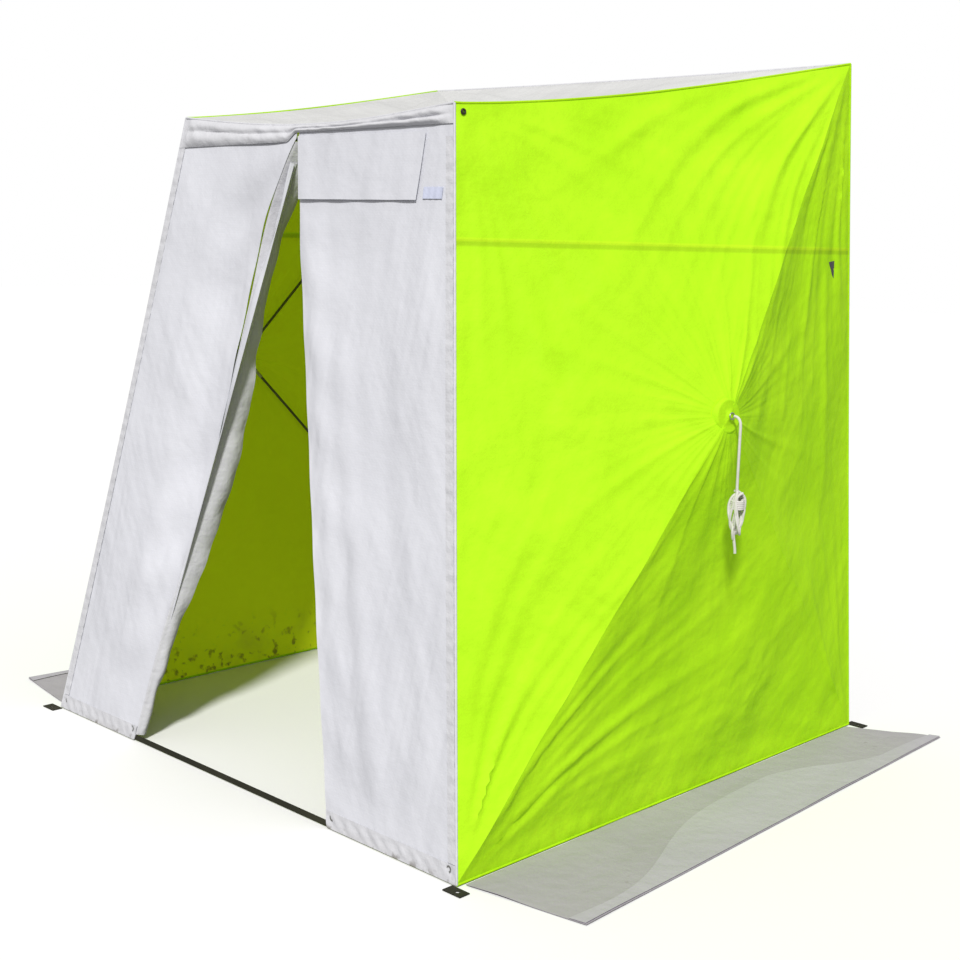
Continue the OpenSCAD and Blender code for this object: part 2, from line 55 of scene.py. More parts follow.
Array = np.ndarray
Surface = Callable[[Array, Array], Array]
Socket = bpy.types.NodeSocket
Piece = bpy.types.Object

CLOTH_THICK = 0.0012
TRIM_THICK = 0.0009


def vec(*xyz: float) -> Array:
    """A point or direction as an array."""
    return np.array(xyz, float)


def unit(v: Array) -> Array:
    """v at length one."""
    return v / np.linalg.norm(v)


def smooth(x: Array, lo: float, hi: float) -> Array:
    """Smooth step of x from 0 at lo to 1 at hi."""
    t = np.clip((x - lo) / (hi - lo), 0.0, 1.0)
    return t * t * (3 - 2 * t)


class Body(Enum):
    """The CAD bodies that pieces ride on."""

    SHELL = "shelter"
    HUB_RIGHT = "hub_right_moving"
    HUB_LEFT = "hub_left_moving"
    HUB_ROOF = "hub_roof_moving"
    CORD = "pull_cord_hanging"
    FLAP_RIGHT = "door_flap_right"
    FLAP_LEFT = "door_flap_left"
    VENT = "vent_flap"
    SKIRT_RIGHT = "skirt_right"
    SKIRT_LEFT = "skirt_left"


# ------------------------------------------------------------------ finishes


@dataclass
class Graph:
    """Short names for the nodes that the finishes share."""

    tree: bpy.types.NodeTree

    def add(self, kind: str) -> bpy.types.Node:
        """A new node of that kind."""
        return self.tree.nodes.new(kind)

    def link(self, a: Socket, b: Socket) -> None:
        """Joins two sockets."""
        self.tree.links.new(a, b)

    def feed(self, value: object, socket: Socket) -> None:
        """Links a socket, or sets a number or colour."""
        if isinstance(value, Socket):
            self.link(value, socket)
        elif isinstance(value, tuple):
            socket.default_value = (*value, 1.0)
        else:
            socket.default_value = value

    def noise(self, place: Socket, scale: float, detail: float) -> Socket:
        """Noise at a scale per metre."""
        n = self.add("ShaderNodeTexNoise")
        self.link(place, n.inputs["Vector"])
        n.inputs["Scale"].default_value = scale
        n.inputs["Detail"].default_value = detail
        return n.outputs["Fac"]

    def weave(self, place: Socket, threads: float) -> Socket:
        """Two crossed sets of threads."""
        out = None
        for way in ("Z", "DIAGONAL"):
            w = self.add("ShaderNodeTexWave")
            self.link(place, w.inputs["Vector"])
            w.bands_direction = way
            w.inputs["Scale"].default_value = threads / 20.0
            w.inputs["Distortion"].default_value = 0.4
            out = w.outputs["Fac"] if out is None else self.times(out, w.outputs["Fac"])
        return out

    def slanted(self, place: Socket, facing: int, lean: float, across: float, along: float) -> Socket:
        """Places turned about the axis that a cloth faces and drawn out, so that noise runs in streaks.

        Args:
            place: the places.
            facing: 0 for a cloth that faces X, 1 for Y.
            lean: turn of the streaks from upright, in radians.
            across: scale across the streaks.
            along: scale along them.

        Returns:
            The changed places.
        """
        n = self.add("ShaderNodeMapping")
        self.link(place, n.inputs["Vector"])
        turn, size = [0.0, 0.0, 0.0], [1.0, across, along]
        if facing:
            size = [across, 1.0, along]
        turn[facing] = lean
        n.inputs["Rotation"].default_value = turn
        m = self.add("ShaderNodeMapping")
        self.link(n.outputs[0], m.inputs["Vector"])
        m.inputs["Scale"].default_value = size
        return m.outputs[0]

    def inside(self, place: Socket) -> Socket:
        """1 on cloth that faces the middle of the shelter, 0 on its outside."""
        n = self.add("ShaderNodeNewGeometry")
        out = self.times(self.split(n.outputs["True Normal"], 0), self.split(place, 0))
        return self.math("LESS_THAN", out, 0.0)

    def math(self, how: str, a: object, b: object) -> Socket:
        """A maths node on two sockets or numbers."""
        n = self.add("ShaderNodeMath")
        n.operation = how
        self.feed(a, n.inputs[0])
        self.feed(b, n.inputs[1])
        return n.outputs[0]

    def times(self, a: object, b: object) -> Socket:
        """a times b."""
        return self.math("MULTIPLY", a, b)

    def mix(self, share: object, a: object, b: object) -> Socket:
        """a where share is 0, b where it is 1."""
        n = self.add("ShaderNodeMix")
        n.data_type = "RGBA"
        self.feed(share, n.inputs[0])
        self.feed(a, n.inputs[6])
        self.feed(b, n.inputs[7])
        return n.outputs[2]

    def ramp(self, a: Socket, lo: float, hi: float) -> Socket:
        """a rescaled so that lo is 0 and hi is 1, clamped."""
        n = self.add("ShaderNodeMapRange")
        self.link(a, n.inputs["Value"])
        n.inputs["From Min"].default_value = lo
        n.inputs["From Max"].default_value = hi
        return n.outputs["Result"]

    def span(self, a: Socket, lo: float, hi: float) -> Socket:
        """a, from 0 to 1, rescaled to lo to hi."""
        n = self.add("ShaderNodeMapRange")
        self.link(a, n.inputs["Value"])
        n.inputs["To Min"].default_value = lo
        n.inputs["To Max"].default_value = hi
        return n.outputs["Result"]

    def split(self, place: Socket, axis: int) -> Socket:
        """One coordinate of a place."""
        n = self.add("ShaderNodeSeparateXYZ")
        self.link(place, n.inputs[0])
        return n.outputs[axis]

    def band(self, a: Socket, middle: float, half: float) -> Socket:
        """1 near the middle, 0 from 1.6 times half away from it."""
        off = self.math("ABSOLUTE", self.math("SUBTRACT", a, middle), 0.0)
        return self.ramp(off, 1.6 * half, 0.8 * half)

    def bump(self, height: Socket, strength: float, distance: float, under: Socket | None = None) -> Socket:
        """A normal bumped by height, over another normal if given."""
        n = self.add("ShaderNodeBump")
        n.inputs["Strength"].default_value = strength
        n.inputs["Distance"].default_value = distance
        self.link(height, n.inputs["Height"])
        if under is not None:
            self.link(under, n.inputs["Normal"])
        return n.outputs[0]


class Finish:
    """A node material that is made the first time a piece wants it."""

    name: str
    slot: str

    def surface(self, g: Graph) -> Socket:
        """Makes the nodes and gives their shader."""
        raise NotImplementedError

    def build(self) -> bpy.types.Material:
        """The material, made once."""
        title = f"{self.name}_look"
        m = bpy.data.materials.get(title)
        if m is None:
            m = bpy.data.materials.new(title)
            m.use_nodes = True
            m.node_tree.nodes.clear()
            g = Graph(m.node_tree)
            shader = self.surface(g)
            g.link(shader, g.add("ShaderNodeOutputMaterial").inputs["Surface"])
        return m


@dataclass(frozen=True)
class Cloth(Finish):
    """A coated woven cloth.

    Args:
        name: material name.
        color: main colour, linear RGB.
        shade: colour of its darker patches.
        slot: the record's material slot; not used.
        weave: threads a metre.
        glow: share of light that passes through.
        dirt_z: height below which dirt shows.
        seam_z: height of a level seam, drawn as a dark line that is partly stitching and partly painted
            shade, with a painted highlight band just above it, or 0 for none.
        rough: roughness.
        crinkle: strength of the fine wrinkles.
        specks: strength of scattered dirt.
        streaks: sets of long soft wrinkles: lean in radians, wrinkles a metre, and bends a metre along them.
        facing: axis that the cloth faces, which the streaks lie across.
        soft: strength of the streaks.
        painted_glow: strength of a painted glow: the cloth gives off its own colour as light whatever lights
            it, standing in for its fluorescent dye.
        lined: colour of the coated side, which faces the middle of the shelter.
    """

    name: str
    color: tuple[float, float, float]
    shade: tuple[float, float, float]
    slot: str
    weave: float = 900.0
    glow: float = 0.25
    dirt_z: float = 0.0
    seam_z: float = 0.0
    rough: float = 0.62
    crinkle: float = 0.35
    specks: float = 0.0
    streaks: tuple[tuple[float, float, float], ...] = ()
    facing: int = 0
    soft: float = 0.5
    painted_glow: float = 0.0
    lined: tuple[float, float, float] | None = None

    def dyed(self, g: Graph, place: Socket) -> Socket:
        """The colour, with the coated side, the seam's line with its painted shade and painted highlight,
        specks and dirt where it has them.
        """
        base = g.mix(g.ramp(g.noise(place, 3.0, 4.0), 0.35, 0.7), self.shade, self.color)
        base = g.mix(g.times(g.ramp(g.noise(place, 45.0, 3.0), 0.3, 0.8), 0.25), base, self.shade)
        height = g.split(place, 2)
        if self.lined:
            base = g.mix(g.inside(place), base, self.lined)
        if self.seam_z:
            # the seam: a dark line, partly stitching and partly painted shade in its fold, and a painted
            # highlight band on the fold just above it
            dark = tuple(0.62 * c for c in self.color)
            pale = tuple(min(1.0, 1.25 * c) for c in self.color)
            base = g.mix(g.times(g.band(height, self.seam_z, 0.007), 0.55), base, dark)
            base = g.mix(g.times(g.band(height, self.seam_z + 0.008, 0.004), 0.35), base, pale)
        if self.specks:
            dots = g.ramp(g.noise(place, 26.0, 5.0), 0.64, 0.70)
            spread = g.ramp(g.noise(place, 2.2, 1.0), 0.56, 0.66)
            base = g.mix(g.times(g.times(dots, spread), self.specks), base, GRIT)
        if self.dirt_z:
            low = g.ramp(height, self.dirt_z, 0.0)
            if self.seam_z:
                low = g.times(low, g.inside(place))
            spots = g.ramp(g.noise(place, 34.0, 6.0), 0.56, 0.66)
            stain = g.ramp(g.noise(place, 9.0, 3.0), 0.5, 0.75)
            base = g.mix(g.times(g.times(low, spots), 0.75), base, MUD)
            base = g.mix(g.times(g.times(low, stain), 0.30), base, DUST)
        return base

    def relief(self, g: Graph, place: Socket) -> Socket:
        """The bumps: fine wrinkles, long streaks where it has them, and the threads on top."""
        bump = g.bump(g.noise(place, 22.0, 5.0), self.crinkle, 0.012)
        for lean, across, along in self.streaks:
            soft = g.noise(g.slanted(place, self.facing, lean, across, along), 1.0, 2.0)
            part = g.ramp(g.noise(place, 1.7 + lean, 1.0), 0.35, 0.65)
            bump = g.bump(g.times(soft, part), self.soft, 0.045, bump)
        return g.bump(g.weave(place, self.weave), 0.12, 0.0006, bump)

    def surface(self, g: Graph) -> Socket:
        """Cloth with a low sheen that lets some light through, and a painted glow in its own colour where it
        has one.
        """
        place = g.add("ShaderNodeTexCoord").outputs["Object"]
        base, bump = self.dyed(g, place), self.relief(g, place)
        shader = g.add("ShaderNodeBsdfPrincipled")
        g.link(base, shader.inputs["Base Color"])
        g.link(base, shader.inputs["Emission Color"])
        g.link(bump, shader.inputs["Normal"])
        shader.inputs["Roughness"].default_value = self.rough
        shader.inputs["Specular IOR Level"].default_value = 0.10
        # painted glow: the cloth's own colour given off as light, however it is lit
        shader.inputs["Emission Strength"].default_value = self.painted_glow
        through = g.add("ShaderNodeBsdfTranslucent")
        g.link(base, through.inputs["Color"])
        g.link(bump, through.inputs["Normal"])
        both = g.add("ShaderNodeMixShader")
        both.inputs[0].default_value = self.glow
        g.link(shader.outputs[0], both.inputs[1])
        g.link(through.outputs[0], both.inputs[2])
        return both.outputs[0]


@dataclass(frozen=True)
class Hard(Finish):
    """A moulded, metal or rod finish with fine grain and scuffs."""

    name: str
    color: tuple[float, float, float]
    worn: tuple[float, float, float]
    slot: str
    metal: float = 0.0
    rough: float = 0.5
    grain: float = 260.0

    def surface(self, g: Graph) -> Socket:
        """A hard shader with scuffs and grain."""
        place = g.add("ShaderNodeTexCoord").outputs["Object"]
        scuff = g.ramp(g.noise(place, 60.0, 6.0), 0.52, 0.70)
        shader = g.add("ShaderNodeBsdfPrincipled")
        g.link(g.mix(g.times(scuff, 0.5), self.color, self.worn), shader.inputs["Base Color"])
        shader.inputs["Metallic"].default_value = self.metal
        rough = g.span(g.noise(place, 90.0, 3.0), self.rough - 0.1, self.rough + 0.12)
        g.link(rough, shader.inputs["Roughness"])
        g.link(g.bump(g.noise(place, self.grain, 3.0), 0.15, 0.0008), shader.inputs["Normal"])
        return shader.outputs[0]


# streaks of the white front and back, and of the lime sides
UPRIGHT = ((0.06, 7.0, 0.5), (-0.10, 12.0, 0.8), (0.55, 9.0, 1.6))
SLANTED = ((0.75, 6.0, 1.2), (-0.8, 8.0, 1.6), (0.25, 4.0, 0.9))

# colours of specks, spots and stains
GRIT, MUD, DUST = (0.16, 0.14, 0.10), (0.10, 0.075, 0.04), (0.22, 0.17, 0.11)

LIME = Cloth(
    "lime_cloth",
    (0.60, 0.98, 0.022),
    (0.51, 0.90, 0.014),
    "lime_cloth",
    dirt_z=0.20,
    # seam line with painted shade and a painted highlight band above it
    seam_z=1.545,
    # painted glow that lifts the lime whatever lights it
    painted_glow=0.07,
    streaks=SLANTED,
    lined=(0.88, 0.98, 0.02),
)
WHITE = Cloth(
    "white_cloth",
    (0.755, 0.76, 0.815),
    (0.715, 0.72, 0.775),
    "white_cloth",
    glow=0.08,
    streaks=UPRIGHT,
    facing=1,
    soft=0.28,
    crinkle=0.22,
)
ROOF = Cloth("roof_cloth", (0.74, 0.74, 0.74), (0.68, 0.68, 0.68), "white_cloth", glow=0.15)
TRIM = Cloth(
    "trim_cloth",
    (0.69, 0.69, 0.73),
    (0.63, 0.63, 0.66),
    "white_cloth",
    glow=0.05,
    dirt_z=0.022,
    crinkle=0.6,
)
LIME_TRIM = Cloth(
    "lime_trim",
    (0.50, 0.84, 0.012),
    (0.40, 0.70, 0.008),
    "lime_cloth",
    glow=0.1,
    # painted glow that lifts the trim whatever lights it
    painted_glow=0.05,
)
SKIRT = Cloth("skirt_cloth", (0.43, 0.405, 0.44), (0.40, 0.375, 0.41), "grey_cloth", glow=0.0, specks=0.35)
SKIRT_PALE = Cloth("skirt_pale", (0.485, 0.46, 0.51), (0.455, 0.43, 0.48), "grey_cloth", glow=0.0)
TAG = Cloth("blank_tag", (0.62, 0.65, 0.80), (0.58, 0.61, 0.76), "grey_cloth", glow=0.0)
WEB = Cloth("olive_web", (0.05, 0.05, 0.032), (0.025, 0.025, 0.018), "olive_web", weave=420.0, glow=0.0)
MESH = Cloth("black_mesh", (0.03, 0.03, 0.035), (0.10, 0.10, 0.11), "black_mesh", weave=300.0, glow=0.0)
CORD = Cloth("white_cord", (0.80, 0.79, 0.74), (0.55, 0.54, 0.50), "white_cord", weave=600.0, glow=0.0)
ZIP = Cloth("zip_grey", (0.33, 0.33, 0.34), (0.20, 0.20, 0.21), "zip_grey", weave=260.0, glow=0.0)
NYLON = Hard("hub_plastic", (0.020, 0.013, 0.010), (0.07, 0.05, 0.04), "hub_plastic")
ROD = Hard("fibreglass", (0.13, 0.14, 0.09), (0.22, 0.23, 0.16), "fibreglass", rough=0.35)
ZINC = Hard("zinc", (0.55, 0.55, 0.54), (0.30, 0.27, 0.22), "zinc", metal=1.0, rough=0.35)


# ------------------------------------------------------------------ mesh helpers


def put_on(piece: Piece, finish: Finish) -> None:
    """Gives a piece its finish."""
    piece.data.materials.clear()
    piece.data.materials.append(finish.build())


def only(piece: Piece) -> None:
    """Selects one piece and makes it active."""
    bpy.ops.object.select_all(action="DESELECT")
    piece.select_set(True)
    bpy.context.view_layer.objects.active = piece


def bake(piece: Piece, kind: str, **settings: object) -> None:
    """Adds a modifier with these settings and applies it."""
    only(piece)
    m = piece.modifiers.new(kind.lower(), kind)
    for key, value in settings.items():
        setattr(m, key, value)
    bpy.ops.object.modifier_apply(modifier=m.name)


def patch(name: str, where: Surface, nu: int, nv: int, thick: float, finish: Finish) -> Piece:
    """A closed sheet over a grid.

    Args:
        name: the piece's name.
        where: gives places for u and v from 0 to 1; u x v faces outwards.
        nu: squares along u.
        nv: squares along v.
        thick: thickness, added inwards.
        finish: its finish.

    Returns:
        The new piece, with its place in its mesh.
    """
    bpy.ops.object.select_all(action="DESELECT")
    bpy.ops.mesh.primitive_grid_add(x_subdivisions=nu, y_subdivisions=nv, size=1.0)
    o = bpy.context.object
    o.name = o.data.name = name
    co = np.empty(len(o.data.vertices) * 3)
    o.data.vertices.foreach_get("co", co)
    co = co.reshape(-1, 3)
    co = where(co[:, 0] + 0.5, co[:, 1] + 0.5)
    o.data.vertices.foreach_set("co", co.ravel())
    o.data.update()
    bake(o, "SOLIDIFY", thickness=thick, offset=-1.0, use_even_offset=False)
    only(o)
    bpy.ops.object.shade_smooth_by_angle(angle=math.radians(50))
    put_on(o, finish)
    LOG.info("%s: %d faces", name, len(o.data.polygons))
    return o


def tube(name: str, points: Array, radius: float, finish: Finish, cyclic: bool = False) -> Piece:
    """A round tube along points, closed at its ends.

    Args:
        name: the piece's name.
        points: its centre line, n x 3.
        radius: its radius.
        finish: its finish.
        cyclic: whether it closes on itself.

    Returns:
        The new piece.
    """
    bpy.ops.object.select_all(action="DESELECT")
    bpy.ops.curve.primitive_nurbs_path_add()
    o = bpy.context.object
    o.name = o.data.name = name
    c = o.data
    c.splines.clear()
    s = c.splines.new("POLY")
    s.points.add(len(points) - 1)
    s.points.foreach_set("co", np.c_[points, np.ones(len(points))].ravel())
    s.use_cyclic_u = cyclic
    c.bevel_depth = radius
    c.bevel_resolution = 3
    c.use_fill_caps = not cyclic
    only(o)
    bpy.ops.object.convert(target="MESH")
    o = bpy.context.object
    bpy.ops.object.mode_set(mode="EDIT")
    bpy.ops.mesh.select_all(action="SELECT")
    bpy.ops.mesh.remove_doubles(threshold=1e-6)
    bpy.ops.mesh.normals_make_consistent(inside=False)
    bpy.ops.object.mode_set(mode="OBJECT")
    bpy.ops.object.shade_smooth_by_angle(angle=math.radians(60))
    put_on(o, finish)
    return o


def join(pieces: Sequence[Piece], name: str) -> Piece:
    """Joins pieces into one with a name of its own."""
    only(pieces[0])
    for piece in pieces:
        piece.select_set(True)
    bpy.ops.object.join()
    o = bpy.context.object
    o.name = o.data.name = name
    return o


def one_side(piece: Piece) -> float:
    """Area of one side of a cloth."""
    return sum(p.area for p in piece.data.polygons) / 2


def cut_from(piece: Piece, w: float, h: float) -> None:
    """Works out, for a cloth that the piped edges hold, the flat width that it was cut to; nothing keeps the
    result.

    Args:
        piece: the cloth.
        w: its width when flat; a cloth with more area than that allows is wider.
        h: its height when flat.
    """
    area = one_side(piece)
    w = max(w, area / h * 1.02)


def on_quad(quad: Sequence[Array], x: Array, y: Array) -> Array:
    """Places in a quad: x runs from its first corner to its second, y from its first to its last."""
    a = quad[0] + x[:, None] * (quad[1] - quad[0])
    b = quad[3] + x[:, None] * (quad[2] - quad[3])
    return a + y[:, None] * (b - a)


# ------------------------------------------------------------------ the shell's shape


@dataclass(frozen=True)
class Shell:
    """The shelter's corners, hubs and slopes, the same as the CAD frame's."""

    base_w: float = 1.830
    base_d: float = 1.830
    roof_front_w: float = 1.154
    roof_back_w: float = 1.770
    front_h: float = 1.890
    back_h: float = 2.100
    front_lean: float = 0.262
    back_lean: float = 0.212
    side_pop: float = 0.260
    side_hub_z: float = 1.112
    side_hub_front: float = 0.085
    roof_pop: float = 0.170
    roof_hub_back: float = 0.790
    piping_r: float = 0.004
    base_y: float = -0.0405
    door_w: float = 0.920
    door_len: float = 1.835
    door_shift: float = 0.030

    @property
    def front_y(self) -> float:
        """Foot of the front wall."""
        return self.base_y - self.base_d / 2

    @property
    def back_y(self) -> float:
        """Foot of the back wall."""
        return self.base_y + self.base_d / 2

    @property
    def front_len(self) -> float:
        """Length up the front wall."""
        return math.hypot(self.front_lean, self.front_h)

    def front_base(self, s: int) -> Array:
        """A front corner at the floor."""
        return vec(s * self.base_w / 2, self.front_y, self.piping_r)

    def back_base(self, s: int) -> Array:
        """A back corner at the floor."""
        return vec(s * self.base_w / 2, self.back_y, self.piping_r)

    def front_top(self, s: int) -> Array:
        """A front corner of the roof."""
        return vec(s * self.roof_front_w / 2, self.front_y + self.front_lean, self.front_h)

    def back_top(self, s: int) -> Array:
        """A back corner of the roof."""
        return vec(s * self.roof_back_w / 2, self.back_y - self.back_lean, self.back_h)

    def side_corners(self, s: int) -> list[Array]:
        """A side wall's corners: front and back at the floor, back and front at the roof."""
        return [self.front_base(s), self.back_base(s), self.back_top(s), self.front_top(s)]

    def side_normal(self, s: int) -> Array:
        """A side wall's outward direction."""
        c = self.side_corners(s)
        n = unit(np.cross(c[2] - c[0], c[3] - c[1]))
        return n * np.sign(n[0] * s)

    def side_hub(self, s: int) -> Array:
        """A side wall's hub point, on the cloth."""
        m = sum(self.side_corners(s)) / 4
        n = self.side_normal(s)
        y, z = self.base_y - self.side_hub_front, self.side_hub_z
        return vec(m[0] + (self.side_pop - n[1] * (y - m[1]) - n[2] * (z - m[2])) / n[0], y, z)

    @property
    def roof_corners(self) -> list[Array]:
        """The roof's corners, counter-clockwise from above."""
        return [self.front_top(-1), self.front_top(1), self.back_top(1), self.back_top(-1)]

    @property
    def roof_normal(self) -> Array:
        """The roof's upward direction."""
        c = self.roof_corners
        return unit(np.cross(c[1] - c[0], c[3] - c[0]))

    @property
    def roof_hub(self) -> Array:
        """The roof's hub point, on the cloth."""
        c = self.roof_corners
        front, back = (c[0] + c[1]) / 2, (c[2] + c[3]) / 2
        return front + unit(back - front) * self.roof_hub_back - self.roof_normal * self.roof_pop

    def front(self, u: Array, v: Array, out: Array | float = 0.0) -> Array:
        """Places on the front wall.

        Args:
            u: distance to the right of the middle.
            v: distance up the slope.
            out: distance outwards.

        Returns:
            The places, n x 3.
        """
        up = vec(0, self.front_lean, self.front_h) / self.front_len
        away = vec(0, -self.front_h, self.front_lean) / self.front_len
        u, v, out = np.broadcast_arrays(np.asarray(u, float), np.asarray(v, float), np.asarray(out, float))
        foot = vec(0, self.front_y, 0)
        return foot + u[..., None] * vec(1, 0, 0) + v[..., None] * up + out[..., None] * away

    def front_half(self, v: Array) -> Array:
        """Half the front wall's width at a distance up it."""
        return self.base_w / 2 + (self.roof_front_w - self.base_w) / 2 * np.asarray(v) / self.front_len


SHELL = Shell()


@dataclass
class Folds:
    """Folds in stretched cloth that run out from its pinned points.

    Args:
        pins: pinned points, each with its strength in metres, reach in metres and number of folds a radian.
        seed: picks the random folds.
        ripple: height of the small wrinkles all over.
    """

    pins: list[tuple[Array, float, float, float]]
    seed: int
    ripple: float = 0.0012
    waves: list[tuple[float, float, float, float]] = field(init=False)

    def __post_init__(self) -> None:
        """Draws the small wrinkles' directions and phases."""
        r = np.random.default_rng(self.seed)
        self.waves = [
            (r.uniform(5, 34), r.uniform(0, math.pi), r.uniform(0, 6.28), r.uniform(0.4, 1.0))
            for _ in range(14)
        ]

    def height(self, p: Array) -> Array:
        """Height of the folds at places in the cloth's flat.

        Args:
            p: places, n x 2.

        Returns:
            The heights.
        """
        total = np.zeros(len(p))
        for k, (pin, strength, reach, count) in enumerate(self.pins):
            r = np.random.default_rng(self.seed * 31 + k)
            d = p - pin
            dist = np.hypot(d[:, 0], d[:, 1])
            turn = np.arctan2(d[:, 1], d[:, 0])
            bend = 0.10 * np.sin(3.1 * dist + r.uniform(0, 6))
            fold = np.zeros(len(p))
            for j in range(6):
                f = count * (0.5 + 0.35 * j)
                wave = np.sin(f * (turn + bend) * 2 + r.uniform(0, 6.28) + 1.5 * dist * r.uniform(-1, 1))
                fold += (1 - np.abs(wave)) ** 2.2 * r.uniform(0.4, 1.0) / (1 + 0.35 * j)
            fold -= fold.mean()
            rise = (dist / reach) * np.exp(1 - dist / reach)
            total += strength * fold * rise * smooth(dist, 0.0, 0.10)
        small = np.zeros(len(p))
        for f, a, phase, w in self.waves:
            along = p[:, 0] * math.cos(a) + p[:, 1] * math.sin(a)
            across = p[:, 1] * math.cos(a) - p[:, 0] * math.sin(a)
            small += w * np.sin(f * along + phase + 1.3 * np.sin(2.1 * across + phase)) * (12 / f) ** 0.6
        return total + self.ripple * small


@dataclass
class Rim:
    """An edge of the shell, with the sag that the walls on both sides share."""

    a: Array
    b: Array
    sag: Array
    peak: float = 0.5

    def at(self, u: Array) -> Array:
        """Places along the edge, u from 0 at a to 1 at b."""
        u = np.asarray(u, float)
        power = math.log(0.5) / math.log(self.peak)
        bow = np.sin(math.pi * np.clip(u, 0, 1) ** power)
        return self.a + u[..., None] * (self.b - self.a) + bow[..., None] * self.sag

    def turned(self) -> "Rim":
        """The same edge from b to a."""
        return Rim(self.b, self.a, self.sag, 1 - self.peak)


@dataclass(frozen=True)
class Rims:
    """All of the shell's edges."""

    shell: Shell

    def top_front(self) -> Rim:
        """Front edge of the roof, left to right."""
        return Rim(self.shell.front_top(-1), self.shell.front_top(1), vec(0, 0.004, -0.036))

    def top_back(self) -> Rim:
        """Back edge of the roof, left to right."""
        return Rim(self.shell.back_top(-1), self.shell.back_top(1), vec(0, 0, -0.006))

    def top_side(self, s: int) -> Rim:
        """Side edge of the roof, front to back."""
        drop = 0.024 if s > 0 else 0.012
        return Rim(self.shell.front_top(s), self.shell.back_top(s), vec(-0.004 * s, 0, -drop), 0.42)

    def front_side(self, s: int) -> Rim:
        """Slanted front edge, foot to roof."""
        return Rim(self.shell.front_base(s), self.shell.front_top(s), vec(-0.005 * s, 0.004, 0))

    def back_side(self, s: int) -> Rim:
        """Slanted back edge, foot to roof."""
        return Rim(self.shell.back_base(s), self.shell.back_top(s), vec(0, -0.008, 0))

    def foot(self, s: int) -> Rim:
        """Foot of a side wall, front to back."""
        return Rim(self.shell.front_base(s), self.shell.back_base(s), vec(0, 0, 0))


RIMS = Rims(SHELL)


@dataclass
class PoppedWall:
    """A wall of four cloth triangles drawn out by a hub.

    Args:
        names: the triangles' names, which are also their CAD nodes.
        rims: the wall's edges, in order, so that each turns the wall's outside up.
        hub: the hub point.
        normal: the wall's outward direction.
        across: two directions that lie in the wall.
        folds: its folds.
        body: the hub's body; not used.
        finish: its cloth.
        squares: squares along an edge and from it to the hub.
        gather: below 1, rows lie closer together near the hub.
        reach: how far from its edge to the hub the cloth goes.
    """

    names: Sequence[str]
    rims: Sequence[Rim]
    hub: Array
    normal: Array
    across: tuple[Array, Array]
    folds: Folds
    body: Body
    finish: Cloth
    squares: int = 96
    gather: float = 0.85
    reach: float = 0.972

    def place(self, rim: Rim, u: Array, t: Array) -> Array:
        """Places on a triangle: u along its edge, t from its edge to the hub."""
        edge = rim.at(u)
        p = edge + t[:, None] * (self.hub - edge)
        flat = np.c_[p @ self.across[0], p @ self.across[1]]
        at_hub = smooth(1 - t, 0.0, 0.06)
        calm = smooth(t, 0.0, 0.05) * at_hub
        corner = np.minimum(u, 1 - u) * np.linalg.norm(rim.b - rim.a)
        calm = np.maximum(calm, 0.35 * smooth(corner, 0.0, 0.15) * at_hub * smooth(t, 0, 0.02))
        return p + (self.folds.height(flat) * calm)[:, None] * self.normal

    def build(self) -> None:
        """Makes the four triangles."""
        for name, rim in zip(self.names, self.rims):
            self.triangle(name, rim)

    def triangle(self, name: str, rim: Rim) -> None:
        """Makes one triangle and hides its CAD node."""

        def where(x: Array, y: Array) -> Array:
            return self.place(rim, x, y**self.gather * self.reach)

        o = patch(f"{name}_cloth", where, self.squares, self.squares, CLOTH_THICK, self.finish)
        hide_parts(name)
        along = unit(rim.b - rim.a)
        reach = self.hub - rim.a
        reach = reach - along * (reach @ along)
        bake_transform(o)


# ------------------------------------------------------------------ the cord comes first


@dataclass
class PullCord:
    """The cord on the right hub: a strand, a wound hank and its tail."""

    radius: float = 0.004
    wound_radius: float = 0.0034
    start: Array = field(
        default_factory=lambda: SHELL.side_hub(1) + SHELL.side_normal(1) * 0.009 + vec(0.005, 0, 0)
    )
    drop: float = 0.190

    def route(self) -> Array:
        """The strand's centre line, from the hub down to the hank."""
        steps = [(0, 0), (0.006, -0.0005), (0.012, -0.003), (0.017, -0.008), (0.020, -0.015), (0.021, -0.025)]
        steps += [(0.021, -0.036 - 0.012 * k) for k in range(13)] + [(0.021, -self.drop)]
        line = [self.start + vec(x, 0, z) for x, z in steps]
        for k in range(1, 15):
            sway = 0.004 * math.sin(0.55 * k) * min(1.0, k / 5)
            line.append(self.start + vec(0.021 + 0.5 * sway, sway, -self.drop - 0.0125 * k))
        return np.array(line)

    def build(self) -> None:
        line = self.route()
        strand = tube("pull_cord_strand", line, self.radius, CORD)
        foot = self.start + vec(0.021, 0, -self.drop)
        middle = foot + vec(0.001, 0.004, 0.0)
        turns = 7
        k = np.linspace(0, turns, turns * 36)
        a = 2 * math.pi * k
        spread = 0.10 + 0.9 * (k % 1)
        loop = np.c_[
            0.006 * np.sin(2.0 * a + k) + 0.0035 * (k - turns / 2),
            0.023 * np.sin(a) * (0.75 + 0.1 * np.sin(3 * k)),
            -0.062 + 0.060 * np.cos(a) * (0.90 + 0.08 * np.sin(5 * k)) - 0.002 * spread,
        ]
        hank = tube("pull_cord_hank", middle + loop, self.wound_radius, CORD)
        b = np.linspace(0, 2 * math.pi * 5.5, 150)
        wrap = np.c_[0.015 * np.cos(b), 0.017 * np.sin(b), -0.030 - 0.026 * b / b[-1]]
        wraps = tube("pull_cord_wraps", middle + wrap, self.wound_radius, CORD)
        d = np.linspace(0, 1, 24)
        fall = np.c_[0.002 * np.sin(3 * d), -0.006 - 0.008 * np.sin(3 * d), -0.090 - 0.045 * d]
        tail = tube("pull_cord_tail_short", foot + fall, self.wound_radius, CORD)
        for o in (strand, hank, wraps, tail):
            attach(o, Body.CORD.value)
        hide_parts("pull_cord")
        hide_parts("cord_bundle")


# ------------------------------------------------------------------ walls with hubs


